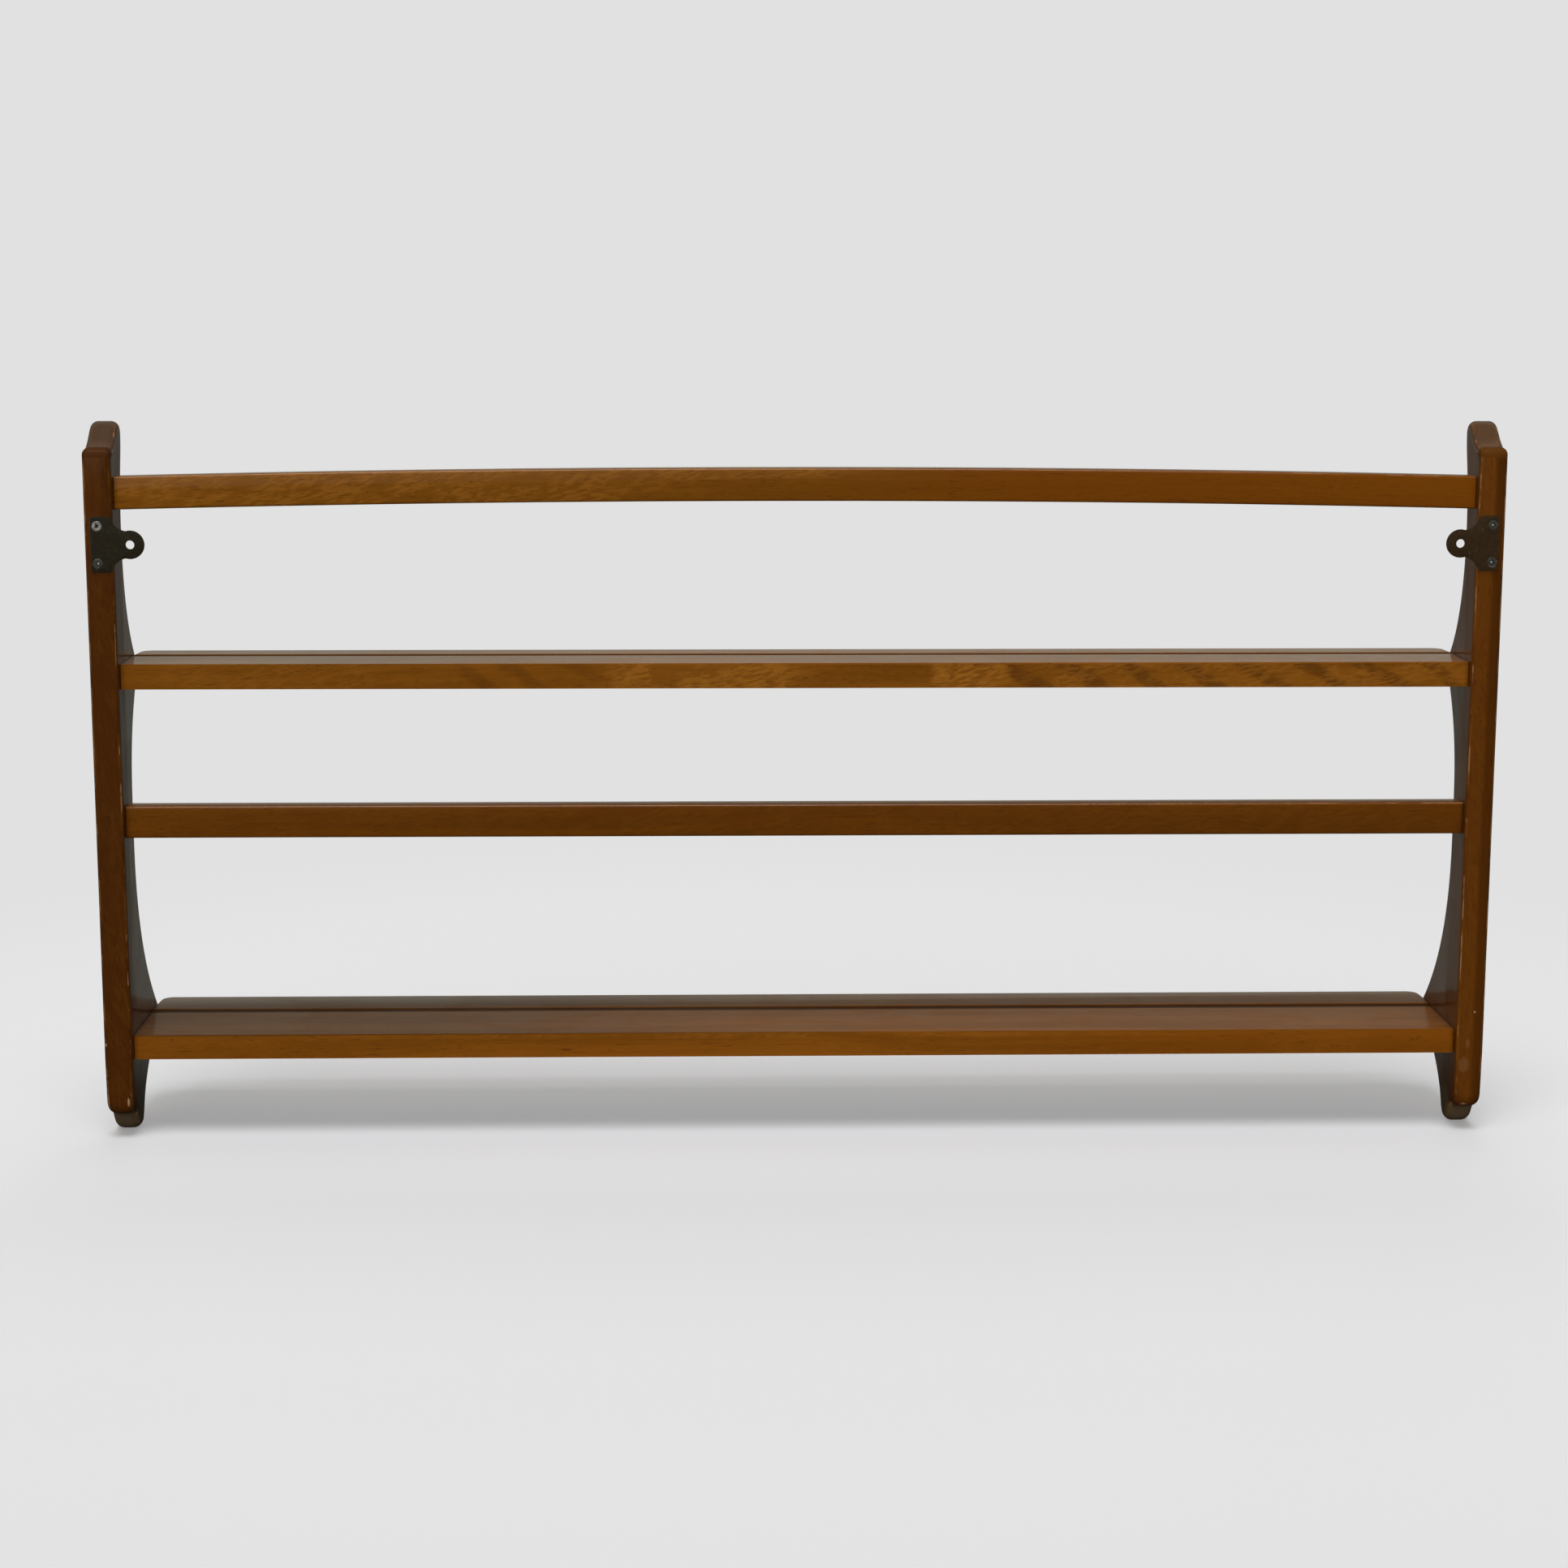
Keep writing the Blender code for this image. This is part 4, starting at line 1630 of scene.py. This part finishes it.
# Greys of painted reflection: the sheen on the panels' feet, and on the slope up to the top lobe, whose end
# grain is also darker.
PAINTED_FOOT_SHEEN = (0.160, 0.135, 0.085)
LOBE_END_GRAIN_AND_SHEEN = (0.098, 0.068, 0.044)
# Colour of the painted highlights in the screws' recesses.
PAINTED_GLINT = (0.75, 0.72, 0.66)


def ends(depth: float, height: float, width: float = 0.013, strength: float = 0.55) -> tuple[Mark, Mark]:
    """Painted shade in the corners where a board meets the two panels."""
    return tuple(
        Mark((side.value * 0.474, depth, height), (width, 0.2, 0.05), SHADE_DARK, strength, 0.1)
        for side in Side
    )


def routed(depth: float, height: float) -> Mark:
    """The dark floor of a groove that runs from end to end: painted shade in the recess, with dirt that
    gathers there.
    """
    return Mark((0.0, depth, height - 0.0022), (9.0, 0.0075, 0.0030), SHADE_DARK, 0.85, 0.10)


def matt_corner(side: Side, colour: Colour) -> Mark:
    """A panel's rear top corner, where the lacquer is worn off."""
    return Mark((side.value * 0.475, -0.0040, 0.0630), (0.03, 0.0075, 0.0060), colour, 0.85, 0.1)


def dark_flank(side: Side, colour: Colour, strength: float) -> Mark:
    """A darker strip along the outer rim of a panel's rear edge."""
    return Mark((side.value * 0.485, 0.0, -0.15), (0.0105, 0.02, 0.80), colour, strength, 0.15)


def painted_sheen_ends(side: Side) -> tuple[Mark, Mark]:
    """Painted reflection, a grey sheen, on a panel's foot and on the slope up to its top lobe, where the
    end grain is also darker.
    """
    return (
        Mark((side.value * 0.475, -0.032, -0.408), (0.03, 0.022, 0.024), PAINTED_FOOT_SHEEN, 0.65, 0.3),
        Mark((side.value * 0.475, -0.030, 0.080), (0.03, 0.034, 0.020), LOBE_END_GRAIN_AND_SHEEN, 0.55, 0.2),
    )


def panel_finishes() -> dict[Side, WoodFinish]:
    """The end panels' finishes, each with its own marks.

    Returns:
        A finish for each side.
    """
    left = WoodFinish(
        "panel_wood_left",
        Grain.UPRIGHT,
        ground=(0.165, 0.048, 0.0040),
        dark=(0.110, 0.030, 0.0025),
        shades=(*painted_sheen_ends(Side.LEFT), dark_flank(Side.LEFT, (0.080, 0.022, 0.001), 0.75)),
        marks=(
            matt_corner(Side.LEFT, (0.130, 0.042, 0.006)),
            Mark((-0.4711, -0.0019, -0.3693), (0.0046, 0.004, 0.0068), WORN_FILM, 0.28, 0.5),
            Mark((-0.4734, -0.0019, -0.3539), (0.0016, 0.004, 0.0042), WORN_FILM, 0.30, 0.8),
            Mark((-0.4776, -0.0019, -0.3309), (0.0008, 0.004, 0.0009), RAW_WOOD, 0.8, 0.4),
            Mark((-0.4725, -0.0025, -0.3985), (0.0026, 0.006, 0.0011), RAW_WOOD, 0.7, 2.2),
        ),
        film=0.7,
        seed=4.3,
    )
    right = WoodFinish(
        "panel_wood_right",
        Grain.UPRIGHT,
        ground=(0.108, 0.030, 0.0028),
        dark=(0.072, 0.019, 0.0018),
        shades=(
            *painted_sheen_ends(Side.RIGHT),
            dark_flank(Side.RIGHT, (0.070, 0.022, 0.003), 0.3),
            Mark((0.4670, -0.0019, 0.030), (0.0075, 0.02, 0.045), (0.070, 0.022, 0.003), 0.5, 0.3),
        ),
        marks=(
            matt_corner(Side.RIGHT, (0.085, 0.027, 0.006)),
            Mark((0.4692, -0.0025, -0.3915), (0.0009, 0.006, 0.0036), RAW_WOOD, 0.8, 1.2),
            Mark((0.4838, -0.0025, -0.3500), (0.0012, 0.003, 0.0016), RAW_WOOD, 0.7, 0.5),
        ),
        film=0.7,
        seed=1.7,
    )
    return {Side.LEFT: left, Side.RIGHT: right}


def board_finishes() -> dict[str, WoodFinish]:
    """The rails' and shelves' finishes by CAD node.

    Returns:
        A finish for each node.
    """
    return {
        "top_rail": WoodFinish(
            "rail_wood_top",
            Grain.ALONG_RACK,
            ground=STAIN,
            dark=STAIN_DARK,
            patches=(
                Mark((0.30, -0.0099, 0.040), (0.26, 0.05, 0.05), strength=0.50),
                Mark((0.06, -0.0099, 0.048), (0.12, 0.05, 0.006), strength=0.5),
            ),
            shades=(
                *ends(-0.02, 0.04),
                Mark((-0.42, -0.0099, 0.04), (0.45, 0.05, 0.05), (0.225, 0.055, 0.001), 0.55, 0.1),
            ),
            seed=0.4,
        ),
        "lower_rail": WoodFinish(
            "rail_wood_lower",
            Grain.ALONG_RACK,
            ground=(0.182, 0.054, 0.0025),
            dark=(0.118, 0.033, 0.0015),
            shades=ends(-0.02, -0.20),
            seed=2.9,
        ),
        "middle_shelf": WoodFinish(
            "shelf_wood_middle",
            Grain.ALONG_RACK,
            ground=(0.290, 0.096, 0.0060),
            dark=STAIN_DARK,
            patches=(
                Mark((0.066, -0.0099, -0.092), (0.085, 0.05, 0.03), strength=0.75),
                Mark((-0.118, -0.0099, -0.092), (0.034, 0.05, 0.03), strength=0.9),
                Mark((-0.31, -0.0099, -0.092), (0.20, 0.05, 0.03), strength=0.45),
                Mark((0.37, -0.0099, -0.092), (0.10, 0.05, 0.03), strength=0.25),
            ),
            stripes=(
                Mark((-0.30, -0.0099, -0.092), (0.22, 0.05, 0.05), STRIPE, 0.60),
                Mark((0.19, -0.0099, -0.092), (0.06, 0.05, 0.05), STRIPE, 0.30),
            ),
            shades=(
                # Painted light: a lighter, redder band over the middle shelf's top.
                Mark((-0.15, -0.050, -0.0822), (0.50, 9.0, 0.0024), (0.400, 0.125, 0.015), 0.6, 0.1),
                *ends(-0.05, -0.09),
            ),
            marks=(routed(-0.0589, -0.0829),),
            seed=6.1,
        ),
        "bottom_shelf": WoodFinish(
            "shelf_wood_bottom",
            Grain.ALONG_RACK,
            ground=(0.325, 0.102, 0.0065),
            dark=(0.180, 0.054, 0.0025),
            patches=(
                Mark((-0.37, -0.0099, -0.352), (0.05, 0.05, 0.02), strength=0.25),
                Mark((0.0, -0.0099, -0.3475), (0.42, 0.05, 0.0025), strength=0.30),
            ),
            shades=(
                # Painted shade over the bottom shelf's top, which lies under the shelf and rails above:
                # over its +X part, and along its front strip.
                Mark((0.50, -0.065, -0.3441), (0.55, 9.0, 0.0024), (0.085, 0.036, 0.010), 0.60, 0.1),
                Mark((0.0, -0.107, -0.3441), (9.0, 0.027, 0.0024), (0.085, 0.036, 0.010), 0.45, 0.1),
                Mark((-0.46, -0.0099, -0.352), (0.35, 0.01, 0.05), (0.235, 0.060, 0.001), 0.4, 0.1),
                *ends(-0.05, -0.35),
            ),
            marks=(routed(-0.0809, -0.3449),),
            seed=8.8,
        ),
    }


def main() -> None:
    """Build the rack's looks in order."""
    logging.basicConfig(level=logging.INFO, format="%(name)s: %(message)s")
    groups = Groups(grain_group(), edge_group(), handling_group())
    panels = {side: finish.build(groups) for side, finish in panel_finishes().items()}
    boards = {node: finish.build(groups) for node, finish in board_finishes().items()}
    irons = {
        Side.LEFT: MetalFinish(
            "plate_metal_left", (0.035, 0.021, 0.008), (0.049, 0.025, 0.009), 0.0, 0.50, sheen=0.22
        ),
        Side.RIGHT: MetalFinish(
            "plate_metal_right", (0.019, 0.0165, 0.010), (0.029, 0.021, 0.010), 0.0, 0.50, sheen=0.22
        ),
    }
    plates = {side: finish.build(groups) for side, finish in irons.items()}
    steel = MetalFinish(
        "screw_metal", (0.46, 0.45, 0.42), (0.22, 0.21, 0.19), 0.3, 0.32, polish=1.0, recess_black=1.0, seed=1.0
    )
    # Painted highlights: a bright spot in the middle of each dark screw's recess.
    spots = tuple(
        Mark((side.value * 0.4757, -0.0006, level.value * 0.01275), (0.0009, 0.002, 0.0009), PAINTED_GLINT, 0.9)
        for side in Side
        for level in Level
    )
    dark_steel = MetalFinish(
        "screw_metal_dark", (0.10, 0.09, 0.08), (0.05, 0.045, 0.04), 0.3, 0.38, recess_black=0.8, painted_glints=spots
    )
    steel, dark_steel = (finish.build(groups) for finish in (steel, dark_steel))
    screws = {(side, level): dark_steel for side in Side for level in Level}
    screws[Side.RIGHT, Level.UPPER] = steel

    Studio().build()
    EndPanels(panels).build()
    Rail("top_rail", boards["top_rail"], rise=0.0056).build()
    Rail("lower_rail", boards["lower_rail"]).build()
    Shelf("middle_shelf", boards["middle_shelf"], groove=0.028).build()
    Shelf("bottom_shelf", boards["bottom_shelf"], groove=0.041).build()
    HangingPlates(plates, screws).build()
    dowel = WoodFinish(
        "dowel_wood", Grain.ALONG_RACK, ground=(0.56, 0.39, 0.21), dark=(0.42, 0.27, 0.13), wear=0.0
    )
    Dowels(dowel.build(groups)).dress()


if __name__ == "__main__":
    main()
